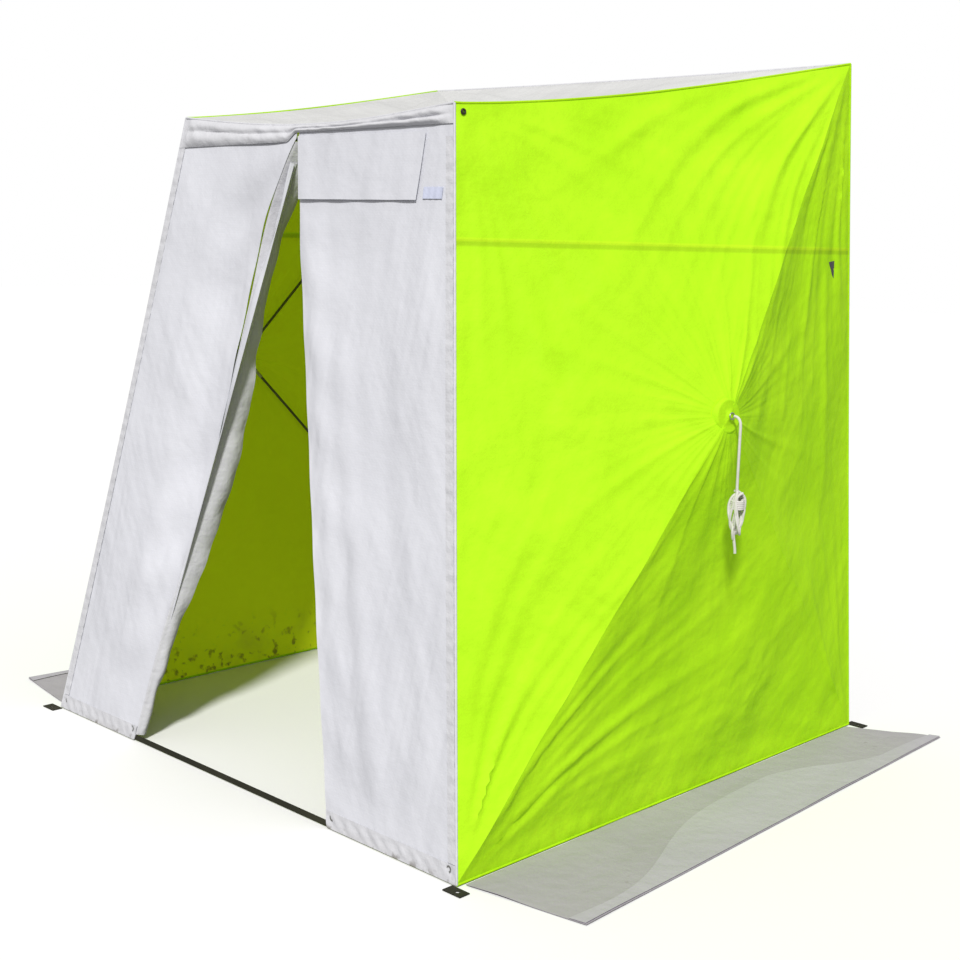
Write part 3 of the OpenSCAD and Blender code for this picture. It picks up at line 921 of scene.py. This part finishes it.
@dataclass
class Walls:
    """The lime side walls and the white roof."""

    shell: Shell = SHELL
    rims: Rims = RIMS

    def side(self, s: int) -> None:
        """Makes one side wall."""
        sh = self.shell
        hub = sh.side_hub(s)
        flat = [vec(p[1], p[2]) for p in sh.side_corners(s)]
        pins = [
            (flat[0], 0.0105, 0.34, 7.0),
            (flat[1], 0.0050, 0.28, 6.0),
            (flat[2], 0.0085, 0.36, 8.0),
            (flat[3], 0.0060, 0.34, 6.0),
            (vec(hub[1], hub[2]), 0.0045, 0.24, 3.0),
        ]
        word = "right" if s > 0 else "left"
        rims = self.rims
        order = [rims.foot(s), rims.back_side(s), rims.top_side(s).turned(), rims.front_side(s).turned()]
        if s < 0:
            order = [r.turned() for r in order]
        PoppedWall(
            names=[f"wall_{word}_{x}" for x in ("base", "back", "top", "front")],
            rims=order,
            hub=hub,
            normal=sh.side_normal(s),
            across=(vec(0, 1, 0), vec(0, 0, 1)),
            folds=Folds(pins, seed=11 + s, ripple=0.0011),
            body=Body.HUB_RIGHT if s > 0 else Body.HUB_LEFT,
            finish=LIME,
        ).build()

    def roof(self) -> None:
        """Makes the roof."""
        sh = self.shell
        hub = sh.roof_hub
        flat = [vec(p[0], p[1]) for p in sh.roof_corners]
        pins = [(f, 0.007, 0.30, 6.0) for f in flat] + [(vec(hub[0], hub[1]), 0.004, 0.22, 3.0)]
        order = [
            self.rims.top_front(),
            self.rims.top_side(1),
            self.rims.top_back().turned(),
            self.rims.top_side(-1).turned(),
        ]
        PoppedWall(
            names=["roof_front", "roof_right", "roof_back", "roof_left"],
            rims=order,
            hub=hub,
            normal=sh.roof_normal,
            across=(vec(1, 0, 0), vec(0, 1, 0)),
            folds=Folds(pins, seed=5),
            body=Body.HUB_ROOF,
            finish=ROOF,
            squares=80,
        ).build()

    def piping(self) -> None:
        """Makes the piped edges along the sagging rims, as one piece."""
        edges = [(self.rims.top_front(), TRIM), (self.rims.top_back(), TRIM)]
        for s in (-1, 1):
            edges += [(self.rims.top_side(s), LIME_TRIM), (self.rims.front_side(s), TRIM)]
            edges += [(self.rims.back_side(s), LIME_TRIM), (self.rims.foot(s), LIME_TRIM)]
        t = np.linspace(0.0, 1.0, 60)
        made = [tube(f"piping_{k}", rim.at(t), 0.0036, finish) for k, (rim, finish) in enumerate(edges)]
        o = join(made, "edge_piping_cloth")
        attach(o, Body.SHELL.value)
        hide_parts("edge_piping")


# ------------------------------------------------------------------ front and back


@dataclass
class FrontWall:
    """The white front wall: panels, header, hems, bindings, door strip and vent.

    Args:
        shell: the shelter's shape.
        rims: its edges.
        tuck: how far the panels reach up behind the header.
        sag_in: how far the left panel's free edge hangs back into the shelter.
        window: left, right, low and high edge of the vent's window on the wall.
    """

    shell: Shell = SHELL
    rims: Rims = RIMS
    tuck: float = 0.022
    sag_in: float = 0.040
    window: tuple[float, float, float, float] = (0.058, 0.394, 1.694, 1.795)

    def jamb(self, s: int, v: Array) -> Array:
        """The door opening's edge at a distance up the wall, with its sag."""
        sh = self.shell
        t = np.clip(np.asarray(v) / sh.door_len, 0, 1)
        x = s * (sh.door_w / 2 * (1 - t) + 0.004 * t) - sh.door_shift
        if s > 0:
            return x - 0.020 * np.sin(math.pi * t)
        return x + (-0.012 * np.sin(math.pi * t) - 0.060 * np.sin(math.pi * t**3.2))

    def edge(self, s: int, v: Array) -> Array:
        """The wall's outer edge at a distance up it."""
        t = np.clip(np.asarray(v) / self.shell.front_len, 0, 1)
        return self.rims.front_side(s).at(t)[..., 0] - 0.002 * s

    @staticmethod
    def spread(s: int, x: Array, inner: Array, outer: Array) -> Array:
        """Distances to the right, x of the way from the left one of two edges to the right one."""
        lo, hi = (inner, outer) if s > 0 else (outer, inner)
        return lo + x * (hi - lo)

    def inset(self, v: Array) -> Array:
        """How far the left panel's free edge hangs inside the wall's plane at a distance up it."""
        return self.sag_in * smooth(v, 0.25, 0.9) * smooth(self.shell.door_len - v, 0, 0.5)

    def panel(self, s: int) -> None:
        """Makes a front panel."""
        sh = self.shell
        word = "right" if s > 0 else "left"
        r = np.random.default_rng(40 + s)
        phases = r.uniform(0, 6.28, 12)

        def where(x: Array, y: Array) -> Array:
            v = 0.004 + y * (sh.door_len + self.tuck)
            inner, outer = self.jamb(s, v), self.edge(s, v)
            u = self.spread(s, x, inner, outer)
            near = 1 - x if s > 0 else x
            gap = np.abs(u - inner)
            out = np.zeros_like(u)
            for k in range(6):
                f = 16 + 9 * k
                out += np.sin(f * gap + phases[k] + 1.4 * np.sin(2.3 * v + phases[k + 6])) / (1 + 0.5 * k)
            out *= 0.0044 * (0.25 + 0.75 * near) * smooth(v, 0.02, 0.30)
            out *= smooth(sh.door_len - v, 0.0, 0.25)
            out += 0.0016 * np.sin(31 * v + 3 * np.sin(9 * gap) + phases[3]) * smooth(near, 0.1, 0.8)
            if s < 0:
                droop = smooth(near, 0.45, 1.0)
                out -= droop * self.inset(v)
                out += 0.004 * droop * np.sin(26 * v + 4 * gap) * smooth(1 - near, 0.0, 0.2)
            if s > 0:
                out = np.where(out < 0, 0.6 * out, out)
                out *= 1 - 0.95 * smooth(v, sh.door_len - 0.27, sh.door_len - 0.19)
            pinned = smooth(np.abs(outer - u), 0.0, 0.05)
            return sh.front(u, v, out * pinned)

        o = patch(f"front_panel_{word}_cloth", where, 90, 200, CLOTH_THICK, WHITE)
        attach(o, Body.SHELL.value)
        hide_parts(f"front_panel_{word}")
        cut_from(o, 0.52, sh.door_len + self.tuck)

    def header(self) -> None:
        """Makes the gathered band over the door."""
        sh = self.shell
        top = self.rims.top_front()

        def where(x: Array, y: Array) -> Array:
            v0 = sh.door_len - 0.018 + 0.014 * x + 0.025 * smooth(x, 0.435, 0.472)
            half = sh.front_half(v0)
            low = sh.front(-half + 2 * half * x, v0, 0.0035)
            high = top.at(x)
            p = low + y[:, None] * (high - low)
            cut = 0.50 + 0.05 * np.sin(5 * x + 1) + 0.02 * np.sin(19 * x)
            upper = np.clip((y - cut) / (1 - cut), 0, 1)
            lower = np.clip(y / cut, 0, 1)
            roll = 0.009 * np.sin(math.pi * lower) ** 0.8 * (1 + 0.25 * np.sin(7 * x + 2))
            roll += 0.008 * np.sin(math.pi * upper) ** 0.8 * (1 + 0.25 * np.sin(8 * x))
            roll += 0.004 * np.sin(math.pi * y)
            pull = np.sin(75 * x + 9 * y + 2.5 * np.sin(13 * x)) * np.sin(23 * x + 4)
            roll += 0.0016 * pull * np.sin(math.pi * y)
            ends = smooth(x, 0, 0.06) * smooth(1 - x, 0, 0.06)
            return p + (roll * ends)[:, None] * vec(0, -0.99, 0.13)

        o = patch("front_header_cloth", where, 260, 20, CLOTH_THICK, TRIM)
        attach(o, Body.SHELL.value)
        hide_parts("front_header")
        cut_from(o, 1.20, 0.10)

    def hem(self, s: int) -> Piece:
        """Makes the hem at the foot of one panel."""

        def where(x: Array, y: Array) -> Array:
            v = 0.003 + y * 0.045
            u = self.spread(s, x, self.jamb(s, v), self.edge(s, v))
            return self.shell.front(u, v, 0.0028 + 0.0014 * np.sin(60 * x + 5 * y) * np.sin(math.pi * y))

        return patch(f"hem_{s + 1}", where, 60, 8, TRIM_THICK, TRIM)

    def binding(self, s: int) -> Piece:
        """Makes the binding up the slanted edge of one panel."""

        def where(x: Array, y: Array) -> Array:
            v = 0.05 + y * (self.shell.door_len - 0.06)
            outer = self.edge(s, v)
            u = self.spread(s, x, outer - s * 0.026, outer)
            return self.shell.front(u, v, 0.0022 + 0.0007 * np.sin(180 * v))

        return patch(f"binding_{s + 1}", where, 4, 220, TRIM_THICK, TRIM)

    def trims(self) -> None:
        """Makes the two hems as one piece, and the two bindings as another."""
        for node, make in (("front_hems", self.hem), ("front_binding", self.binding)):
            o = join([make(-1), make(1)], f"{node}_cloth")
            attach(o, Body.SHELL.value)
            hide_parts(node)

    def door_strip(self) -> None:
        """Makes the puckered strip that folds back inside along the left jamb."""
        sh = self.shell

        def where(x: Array, y: Array) -> Array:
            v = 0.02 + y * (sh.door_len - 0.03)
            wide = 0.030 + 0.042 * smooth(y, 0.0, 0.45) - 0.022 * smooth(y, 0.55, 0.75)
            wide += 0.030 * smooth(y, 0.80, 0.97)
            pucker = np.sin(46 * y + 2.2 * np.sin(9 * y)) * (0.3 + x) + 0.6 * np.sin(97 * y + 3 * x)
            bulge = np.sin(math.pi * x) * 0.016 * (1 + 0.5 * np.sin(17 * y))
            u = self.jamb(-1, v) - 0.003 * (1 - x) + 0.25 * wide * x + bulge * x + 0.0035 * pucker * x
            back = self.inset(v) + 0.0015
            roll = 0.0025 * np.sin(math.pi * np.clip(3 * x, 0, 1))
            return sh.front(u, v, -back + roll - wide * x**1.5)

        o = patch("door_strip_left", where, 20, 260, 0.0014, TRIM)
        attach(o, Body.SHELL.value)

    def vent_flap(self) -> None:
        """Makes the flap that hangs over the vent."""
        sh = self.shell

        def where(x: Array, y: Array) -> Array:
            v = sh.door_len + 0.003 - 0.175 * (1 - y)
            lo = self.jamb(1, v) + 0.004
            hi = 0.492 - 0.006 * (1 - y)
            out = 0.0066 + 0.0035 * (1 - y) ** 2 * (0.6 + 0.4 * np.sin(5 * x + 1))
            out += 0.0012 * np.sin(22 * x + 2 * y) * (1 - y)
            return sh.front(lo + x * (hi - lo), v, out)

        o = patch("vent_flap_cloth", where, 90, 40, CLOTH_THICK, WHITE)
        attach(o, Body.VENT.value)
        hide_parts("vent_flap")
        cut_from(o, 0.48, 0.178)

    def vent_window(self) -> None:
        """Makes the mesh under the vent flap, with its bound edge."""
        sh = self.shell
        left, right, low, high = self.window

        def where(x: Array, y: Array) -> Array:
            sway = 0.0005 * np.sin(11 * x + 3 * y)
            return sh.front(left + (right - left) * x, low + (high - low) * y, 0.0028 + sway)

        o = patch("vent_screen_cloth", where, 40, 14, TRIM_THICK, MESH)
        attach(o, Body.SHELL.value)
        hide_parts("vent_screen")
        corners = [(left, low), (right, low), (right, high), (left, high)]
        t = np.linspace(0.04, 0.96, 16)
        ring = []
        for k, (u0, v0) in enumerate(corners):
            u1, v1 = corners[(k + 1) % 4]
            ring.append(sh.front(u0 + (u1 - u0) * t, v0 + (v1 - v0) * t, 0.0032))
        o = tube("vent_screen_binding", np.concatenate(ring), 0.0022, TRIM, cyclic=True)
        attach(o, Body.SHELL.value)

    def tag(self) -> None:
        """Makes the blank patch beside the vent."""

        def where(x: Array, y: Array) -> Array:
            out = 0.0035 + 0.0008 * np.sin(20 * x)
            return self.shell.front(0.506 + 0.070 * x, 1.667 + 0.030 * y, out)

        o = patch("panel_tag_cloth", where, 12, 6, TRIM_THICK, TAG)
        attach(o, Body.SHELL.value)
        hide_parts("panel_tag")


@dataclass
class BackWall:
    """The white back wall with its hem."""

    shell: Shell = SHELL
    rims: Rims = RIMS
    out: Array = field(default_factory=lambda: vec(0, 0.99, 0.1))

    def level(self, x: Array, t: Array) -> Array:
        """Places on the wall: x from its right edge to its left, t up both edges."""
        a, b = self.rims.back_side(1).at(t), self.rims.back_side(-1).at(t)
        return a + x[:, None] * (b - a)

    def panel(self) -> None:
        """Makes the back panel."""
        top = self.rims.top_back()
        corners = ((-0.91, 0.0), (0.91, 0.0), (-0.88, 2.1), (0.88, 2.1))
        folds = Folds([(vec(x, z), 0.006, 0.32, 6.0) for x, z in corners], seed=23)

        def where(x: Array, y: Array) -> Array:
            p = self.level(x, y)
            p[:, 2] += (top.at(1 - x)[:, 2] - self.shell.back_h) * y
            h = folds.height(np.c_[p[:, 0], p[:, 2]])
            calm = smooth(x, 0, 0.04) * smooth(1 - x, 0, 0.04) * smooth(y, 0, 0.03) * smooth(1 - y, 0, 0.03)
            return p + (h * calm)[:, None] * self.out

        o = patch("back_panel_cloth", where, 130, 130, CLOTH_THICK, WHITE)
        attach(o, Body.SHELL.value)
        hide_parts("back_panel")
        cut_from(o, 1.90, 2.20)

    def hem(self) -> None:
        """Makes the hem at its foot."""

        def where(x: Array, y: Array) -> Array:
            stand = 0.003 + 0.0012 * np.sin(90 * x)
            return self.level(x, 0.001 + 0.029 * y) + stand[:, None] * self.out

        o = patch("back_hem_cloth", where, 160, 8, TRIM_THICK, TRIM)
        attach(o, Body.SHELL.value)
        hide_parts("back_hem")


@dataclass
class DoorFlaps:
    """The two door flaps, folded back inside, over their CAD plates."""

    def build(self) -> None:
        """Makes both flaps."""
        for s, body in ((-1, Body.FLAP_LEFT), (1, Body.FLAP_RIGHT)):
            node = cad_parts[body.value]
            co = np.array([node.matrix_world @ v.co for v in node.data.vertices])
            self.flap(co, s, body)

    def flap(self, co: Array, s: int, body: Body) -> None:
        """Makes one flap.

        Args:
            co: the CAD plate's corners.
            s: which side.
            body: the flap's body.
        """
        quad, normal = plate_quad(co)
        r = np.random.default_rng(70 + s)
        ph = r.uniform(0, 6.28, 6)

        def where(x: Array, y: Array) -> Array:
            h = 0.006 * np.sin(9 * x + 5 * y + ph[0]) + 0.004 * np.sin(15 * y - 7 * x + ph[1])
            h = h + 0.002 * np.sin(31 * y + ph[2])
            h = h * (0.4 if s > 0 else 1.0) * smooth(x, 0.0, 0.15) * smooth(1 - x, 0.0, 0.15)
            return on_quad(quad, x, y) + h[:, None] * normal

        o = patch(f"{body.value}_cloth", where, 60, 150, CLOTH_THICK, WHITE)
        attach(o, body.value)
        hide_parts(body.value)
        w = float(np.linalg.norm(quad[1] - quad[0]))
        h = float(np.linalg.norm(quad[3] - quad[0]))
        cut_from(o, w, h)


def plate_quad(co: Array) -> tuple[Array, Array]:
    """The four corners of a flat CAD plate's middle, in turn, and its normal.

    Args:
        co: the plate's vertices, n x 3.

    Returns:
        The corners and the normal, with corners running counter-clockwise about it.
    """
    mid = co.mean(0)
    _, _, axes = np.linalg.svd(co - mid)
    n = axes[2]
    flat = co - np.outer((co - mid) @ n, n)
    seen: list[Array] = []
    for p in flat:
        if not any(np.linalg.norm(p - q) < 0.0015 for q in seen):
            seen.append(p)
    pts = np.array(seen)
    a = np.arctan2((pts - mid) @ axes[1], (pts - mid) @ axes[0])
    pts = pts[np.argsort(a)]
    low = int(np.argmin(pts[:, 2]))
    pts = np.roll(pts, -low, axis=0)
    if pts[1][2] > pts[-1][2]:
        pts = np.r_[pts[:1], pts[1:][::-1]]
    n = unit(np.cross(pts[1] - pts[0], pts[-1] - pts[0]))
    return pts, n


@dataclass
class Skirts:
    """The grey cloth skirts that lie on the ice beside the walls."""

    shell: Shell = SHELL

    def build(self) -> None:
        """Makes both skirts."""
        for s, body in ((-1, Body.SKIRT_LEFT), (1, Body.SKIRT_RIGHT)):
            self.skirt(s, body)

    def skirt(self, s: int, body: Body) -> None:
        """Makes one skirt and the paler band along its outer part."""
        sh = self.shell
        foot = sh.base_w / 2 + 0.011
        quad = [
            vec(s * foot, sh.front_y + 0.021, 0),
            vec(s * (sh.base_w / 2 + 0.349), sh.front_y + 0.075, 0),
            vec(s * (sh.base_w / 2 + 0.269), sh.back_y + 0.118, 0),
            vec(s * foot, sh.back_y - 0.030, 0),
        ]

        def ripple(x: Array, y: Array) -> Array:
            return 0.0030 * np.abs(np.sin(11 * y + 3 * x + s) * np.sin(5 * x + 4 * y)) ** 1.5

        def whole(x: Array, y: Array) -> Array:
            x = x if s > 0 else 1 - x
            p = on_quad(quad, x, y)
            p[:, 2] = 0.0022 + ripple(x, y) + 0.002 * (1 - x)
            return p

        def band(x: Array, y: Array) -> Array:
            x = x if s > 0 else 1 - x
            line = 0.86 - 0.62 * smooth(y, 0.05, 0.62) + 0.62 * smooth(y, 0.64, 0.86) + 0.05 * np.sin(13 * y)
            line = np.clip(line, 0.12, 0.96)
            w = line + x * (0.992 - line)
            p = on_quad(quad, w, y)
            p[:, 2] = 0.0055 + ripple(w, y)
            return p

        o = patch(f"{body.value}_cloth", whole, 40, 150, CLOTH_THICK, SKIRT)
        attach(o, body.value)
        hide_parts(body.value)
        o = patch(f"{body.value}_snow_band", band, 24, 150, 0.0008, SKIRT_PALE)
        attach(o, body.value)


@dataclass
class Rods:
    """The spring poles, each drawn with one fixed bow; the real ones bend with the cloth as a hub moves.

    Args:
        shell: the shelter's shape.
        hub_inset: how far inside the cloth a pole ends at the hub.
        corner_inset: how far inside the cloth it ends in the corner.
        pin_ring: how far from the hub's middle it ends.
        gap: how far short of the corner it ends.
        bow: how far its middle bends inwards.
    """

    shell: Shell = SHELL
    hub_inset: float = 0.020
    corner_inset: float = 0.018
    pin_ring: float = 0.032
    gap: float = 0.050
    bow: float = 0.018

    def build(self) -> None:
        """Makes four poles for each hub."""
        sh = self.shell
        ends = {
            "front_base": sh.front_base,
            "back_base": sh.back_base,
            "back_top": sh.back_top,
            "front_top": sh.front_top,
        }
        for s, word, body in ((1, "right", Body.HUB_RIGHT), (-1, "left", Body.HUB_LEFT)):
            out = sh.side_normal(s)
            for end, corner in ends.items():
                self.pole(f"pole_{word}_{end}", corner(s), sh.side_hub(s), out, -out)
        down = -sh.roof_normal
        for name, corner in zip(("front_left", "front_right", "back_right", "back_left"), sh.roof_corners):
            self.pole(f"pole_roof_{name}", corner, sh.roof_hub, down, down)

    def pole(self, name: str, corner: Array, hub: Array, out: Array, inward: Array) -> None:
        """Makes one pole: its rod, the ferrule at the hub and the cap in the corner.

        Args:
            name: its CAD node.
            corner: the corner it is sprung into.
            hub: the hub point on the cloth.
            out: the way the hub pushes the cloth.
            inward: the way into the shelter.
        """
        toward = unit(corner - hub - out * ((corner - hub) @ out))
        near = hub + inward * self.hub_inset + toward * self.pin_ring
        far = corner + unit(near - corner) * self.gap + inward * self.corner_inset
        side = unit(np.cross(near - far, out))
        length = float(np.linalg.norm(near - far))

        def line(a: float, b: float, n: int) -> Array:
            t = np.linspace(a / length, 1 - b / length, n)
            bow = self.bow * np.sin(math.pi * t)
            sway = 0.002 * np.sin(6 * t)
            return far + t[:, None] * (near - far) + bow[:, None] * inward + sway[:, None] * side

        made = [
            tube(f"{name}_rod", line(0.0, 0.0, 48), 0.0048, ROD),
            tube(f"{name}_ferrule", line(length - 0.075, 0.004, 8), 0.0066, ZINC),
            tube(f"{name}_cap", line(-0.004, length - 0.036, 8), 0.0070, NYLON),
        ]
        for o in made:
            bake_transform(o)
            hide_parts(name)


def cloth_slopes(off: Array, hub: Array, n: Array, corners: Sequence[Array]) -> Array:
    """Height of a sprung wall near its hub, from the hub's own height.

    Args:
        off: places in the wall's plane, from the hub, n x 3.
        hub: the hub point.
        n: the wall's outward direction.
        corners: the wall's corners, in order.

    Returns:
        The heights.
    """
    rise = float((hub - sum(corners) / 4) @ n)
    heights = []
    for k, a in enumerate(corners):
        along = unit(corners[(k + 1) % 4] - a)
        reach = (a - hub) - n * ((a - hub) @ n)
        reach = reach - along * (reach @ along)
        far = float(np.linalg.norm(reach))
        heights.append(-rise * (off @ reach) / far**2)
    return np.min(heights, axis=0) if rise > 0 else np.max(heights, axis=0)


def wall_axes(out: Array) -> tuple[Array, Array]:
    """Two directions that lie in a wall, from its outward direction."""
    right = unit(np.cross(vec(0, 0.3, 1), out))
    return right, np.cross(out, right)


@dataclass
class Details:
    """Hub patches, rings and the finishes of the CAD pieces that stay."""

    shell: Shell = SHELL

    def patches(self) -> None:
        """Makes the cloth patches over the hubs."""
        sh = self.shell
        for s, word, body in ((1, "right", Body.HUB_RIGHT), (-1, "left", Body.HUB_LEFT)):
            out, corners = sh.side_normal(s), sh.side_corners(s)
            self.hub_patch(f"hub_patch_{word}", sh.side_hub(s), out, corners, body, LIME)
        self.hub_patch("hub_patch_roof", sh.roof_hub, sh.roof_normal, sh.roof_corners, Body.HUB_ROOF, ROOF)

    def hub_patch(
        self, name: str, hub: Array, out: Array, corners: Sequence[Array], body: Body, finish: Cloth
    ) -> None:
        """Makes the round patch over one hub, which follows the cloth's slopes and clears the hub's block.

        Args:
            name: its CAD node.
            hub: the hub point.
            out: the wall's outward direction.
            corners: the wall's corners, in order.
            body: the hub's body.
            finish: its cloth.
        """
        right, up = wall_axes(out)

        def where(u: Array, v: Array) -> Array:
            a, b = 2 * u - 1, 2 * v - 1
            r = np.maximum(np.abs(a), np.abs(b))
            t = np.arctan2(b, a)
            d = 0.054 * r
            off = (d * np.cos(t))[:, None] * right + (d * np.sin(t))[:, None] * up
            over_block = -0.0036 - 0.020 * smooth(d, 0.043, 0.056)
            h = np.maximum(cloth_slopes(off, hub, out, corners) + 0.0022, over_block)
            h = h + 0.0034 * smooth(-d, -0.013, -0.007)
            return hub + off + h[:, None] * out

        o = patch(f"{name}_cloth", where, 40, 40, 0.0010, finish)
        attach(o, body.value)
        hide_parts(name)

    def ring(self, name: str, at: Array, wide: float, thick: float, body: Body, finish: Hard, s: int) -> None:
        """Makes one ring on a side wall.

        Args:
            name: its name.
            at: its middle.
            wide: its radius.
            thick: the radius of its section.
            body: the body it rides on.
            finish: its finish.
            s: which side.
        """
        x, y = wall_axes(self.shell.side_normal(s))
        a = np.linspace(0, 2 * math.pi, 33)[:-1]
        turn = np.cos(a)[:, None] * x + np.sin(a)[:, None] * y
        o = tube(name, at + wide * turn, thick, finish, cyclic=True)
        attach(o, body.value)

    def rings(self) -> None:
        """Makes the eyelet that the cord comes out of and the grommets at the roof's front corners."""
        sh = self.shell
        at = sh.side_hub(1) + sh.side_normal(1) * 0.0066
        self.ring("pull_cord_eyelet", at, 0.0085, 0.0018, Body.HUB_RIGHT, ZINC, 1)
        for s, word in ((1, "right"), (-1, "left")):
            hub, corner = sh.side_hub(s), sh.front_top(s)
            at = corner + 0.030 * unit(hub - corner) + 0.0035 * sh.side_normal(s)
            self.ring(f"corner_grommet_{word}", at, 0.0055, 0.0030, Body.SHELL, NYLON, s)

    def dress(self) -> None:
        """Gives every CAD piece its finish; those that were replaced are hidden."""
        named = {
            "stake_loops": WEB,
            "corner_pockets": WEB,
            "threshold_strap": WEB,
            "hem_eyelets": ZINC,
            "vent_screen": MESH,
            "cable_port": MESH,
            "zip_slider": ZINC,
            "door_zip_left": ZIP,
            "door_zip_right": ZIP,
        }
        for name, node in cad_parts.items():
            finish: Finish | None = named.get(name)
            if finish is None and name.startswith("hub_pins"):
                finish = ZINC
            elif finish is None and name.startswith("hub_"):
                finish = NYLON
            elif finish is None and name.startswith("pole_"):
                finish = ROD
            elif finish is None:
                finish = WHITE
            node.data.materials.clear()
            node.data.materials.append(finish.build())


# ------------------------------------------------------------------ camera, light and floor


@dataclass
class Studio:
    """A pale floor, soft light and a camera at eye height."""

    place: tuple[float, float, float] = (3.2883, -3.3814, 1.5638)
    turn: float = -43.887
    rise: float = -9.370
    roll: float = 1.633
    lens: float = 55.59

    def camera(self) -> None:
        """Sets the scene's camera."""
        az, el, roll = (math.radians(a) for a in (self.turn, self.rise, self.roll))
        ahead = vec(math.cos(el) * math.sin(az), math.cos(el) * math.cos(az), math.sin(el))
        right = vec(math.cos(az), -math.sin(az), 0)
        up = np.cross(right, ahead)
        r2 = right * math.cos(roll) + up * math.sin(roll)
        u2 = -right * math.sin(roll) + up * math.cos(roll)
        data = bpy.data.cameras.new("camera")
        data.lens, data.sensor_width = self.lens, 36.0
        data.clip_start, data.clip_end = 0.05, 100.0
        cam = bpy.data.objects.new("camera", data)
        m = Matrix([[r2[i], u2[i], -ahead[i], self.place[i]] for i in range(3)] + [[0, 0, 0, 1]])
        cam.matrix_world = m
        bpy.context.scene.collection.objects.link(cam)
        bpy.context.scene.camera = cam

    def floor(self) -> None:
        """A large pale floor, white to the camera and darker to the light that it throws back."""
        bpy.ops.object.select_all(action="DESELECT")
        bpy.ops.mesh.primitive_plane_add(size=60.0, location=(0, 0, -0.0008))
        o = bpy.context.object
        o.name = "floor"
        m = bpy.data.materials.new("floor_pale")
        m.use_nodes = True
        b = m.node_tree.nodes["Principled BSDF"]
        b.inputs["Roughness"].default_value = 0.9
        b.inputs["Specular IOR Level"].default_value = 0.0
        g = Graph(m.node_tree)
        seen = g.add("ShaderNodeLightPath").outputs["Is Camera Ray"]
        g.link(g.mix(seen, (0.30, 0.30, 0.30), (0.95, 0.95, 0.95)), b.inputs["Base Color"])
        o.data.materials.append(m)

    def sun(self, toward: Array, strength: float, wide: float) -> None:
        """A broad distant light.

        Args:
            toward: direction from the shelter to the light.
            strength: watts a square metre.
            wide: how wide it looks, in degrees; wider is softer.
        """
        data = bpy.data.lights.new("key", "SUN")
        data.energy, data.angle, data.color = strength, math.radians(wide), (1.0, 0.99, 0.965)
        o = bpy.data.objects.new("key", data)
        back = unit(toward)
        side = unit(np.cross(vec(0, 0, 1), back))
        up = np.cross(back, side)
        at = 6.0 * back
        o.matrix_world = Matrix([[side[i], up[i], back[i], at[i]] for i in range(3)] + [[0, 0, 0, 1]])
        bpy.context.scene.collection.objects.link(o)

    def build(self) -> None:
        """Makes the floor, the sky, which is white to the camera and dimmer as a light, and the sun."""
        self.floor()
        world = bpy.data.worlds.new("studio")
        world.use_nodes = True
        g = Graph(world.node_tree)
        sky = world.node_tree.nodes["Background"]
        sky.inputs["Color"].default_value = (1.0, 1.0, 1.0, 1)
        sky.inputs["Strength"].default_value = 0.43
        white = g.add("ShaderNodeBackground")
        white.inputs["Color"].default_value = (1.0, 1.0, 1.0, 1)
        both = g.add("ShaderNodeMixShader")
        g.link(g.add("ShaderNodeLightPath").outputs["Is Camera Ray"], both.inputs[0])
        g.link(sky.outputs[0], both.inputs[1])
        g.link(white.outputs[0], both.inputs[2])
        g.link(both.outputs[0], world.node_tree.nodes["World Output"].inputs["Surface"])
        bpy.context.scene.world = world
        self.sun(vec(0.45, -0.60, 0.66), 3.15, 7.0)
        bpy.context.scene.view_settings.view_transform = "Standard"


def main() -> None:
    """Builds the scene piece by piece."""
    studio = Studio()
    studio.camera()
    PullCord().build()
    walls = Walls()
    walls.piping()
    for s in (1, -1):
        walls.side(s)
    walls.roof()
    front = FrontWall()
    for s in (-1, 1):
        front.panel(s)
    front.header()
    front.trims()
    front.door_strip()
    front.vent_flap()
    front.vent_window()
    front.tag()
    back = BackWall()
    back.panel()
    back.hem()
    DoorFlaps().build()
    Skirts().build()
    Rods().build()
    details = Details()
    details.patches()
    details.rings()
    details.dress()
    studio.build()


if __name__ == "__main__":
    main()
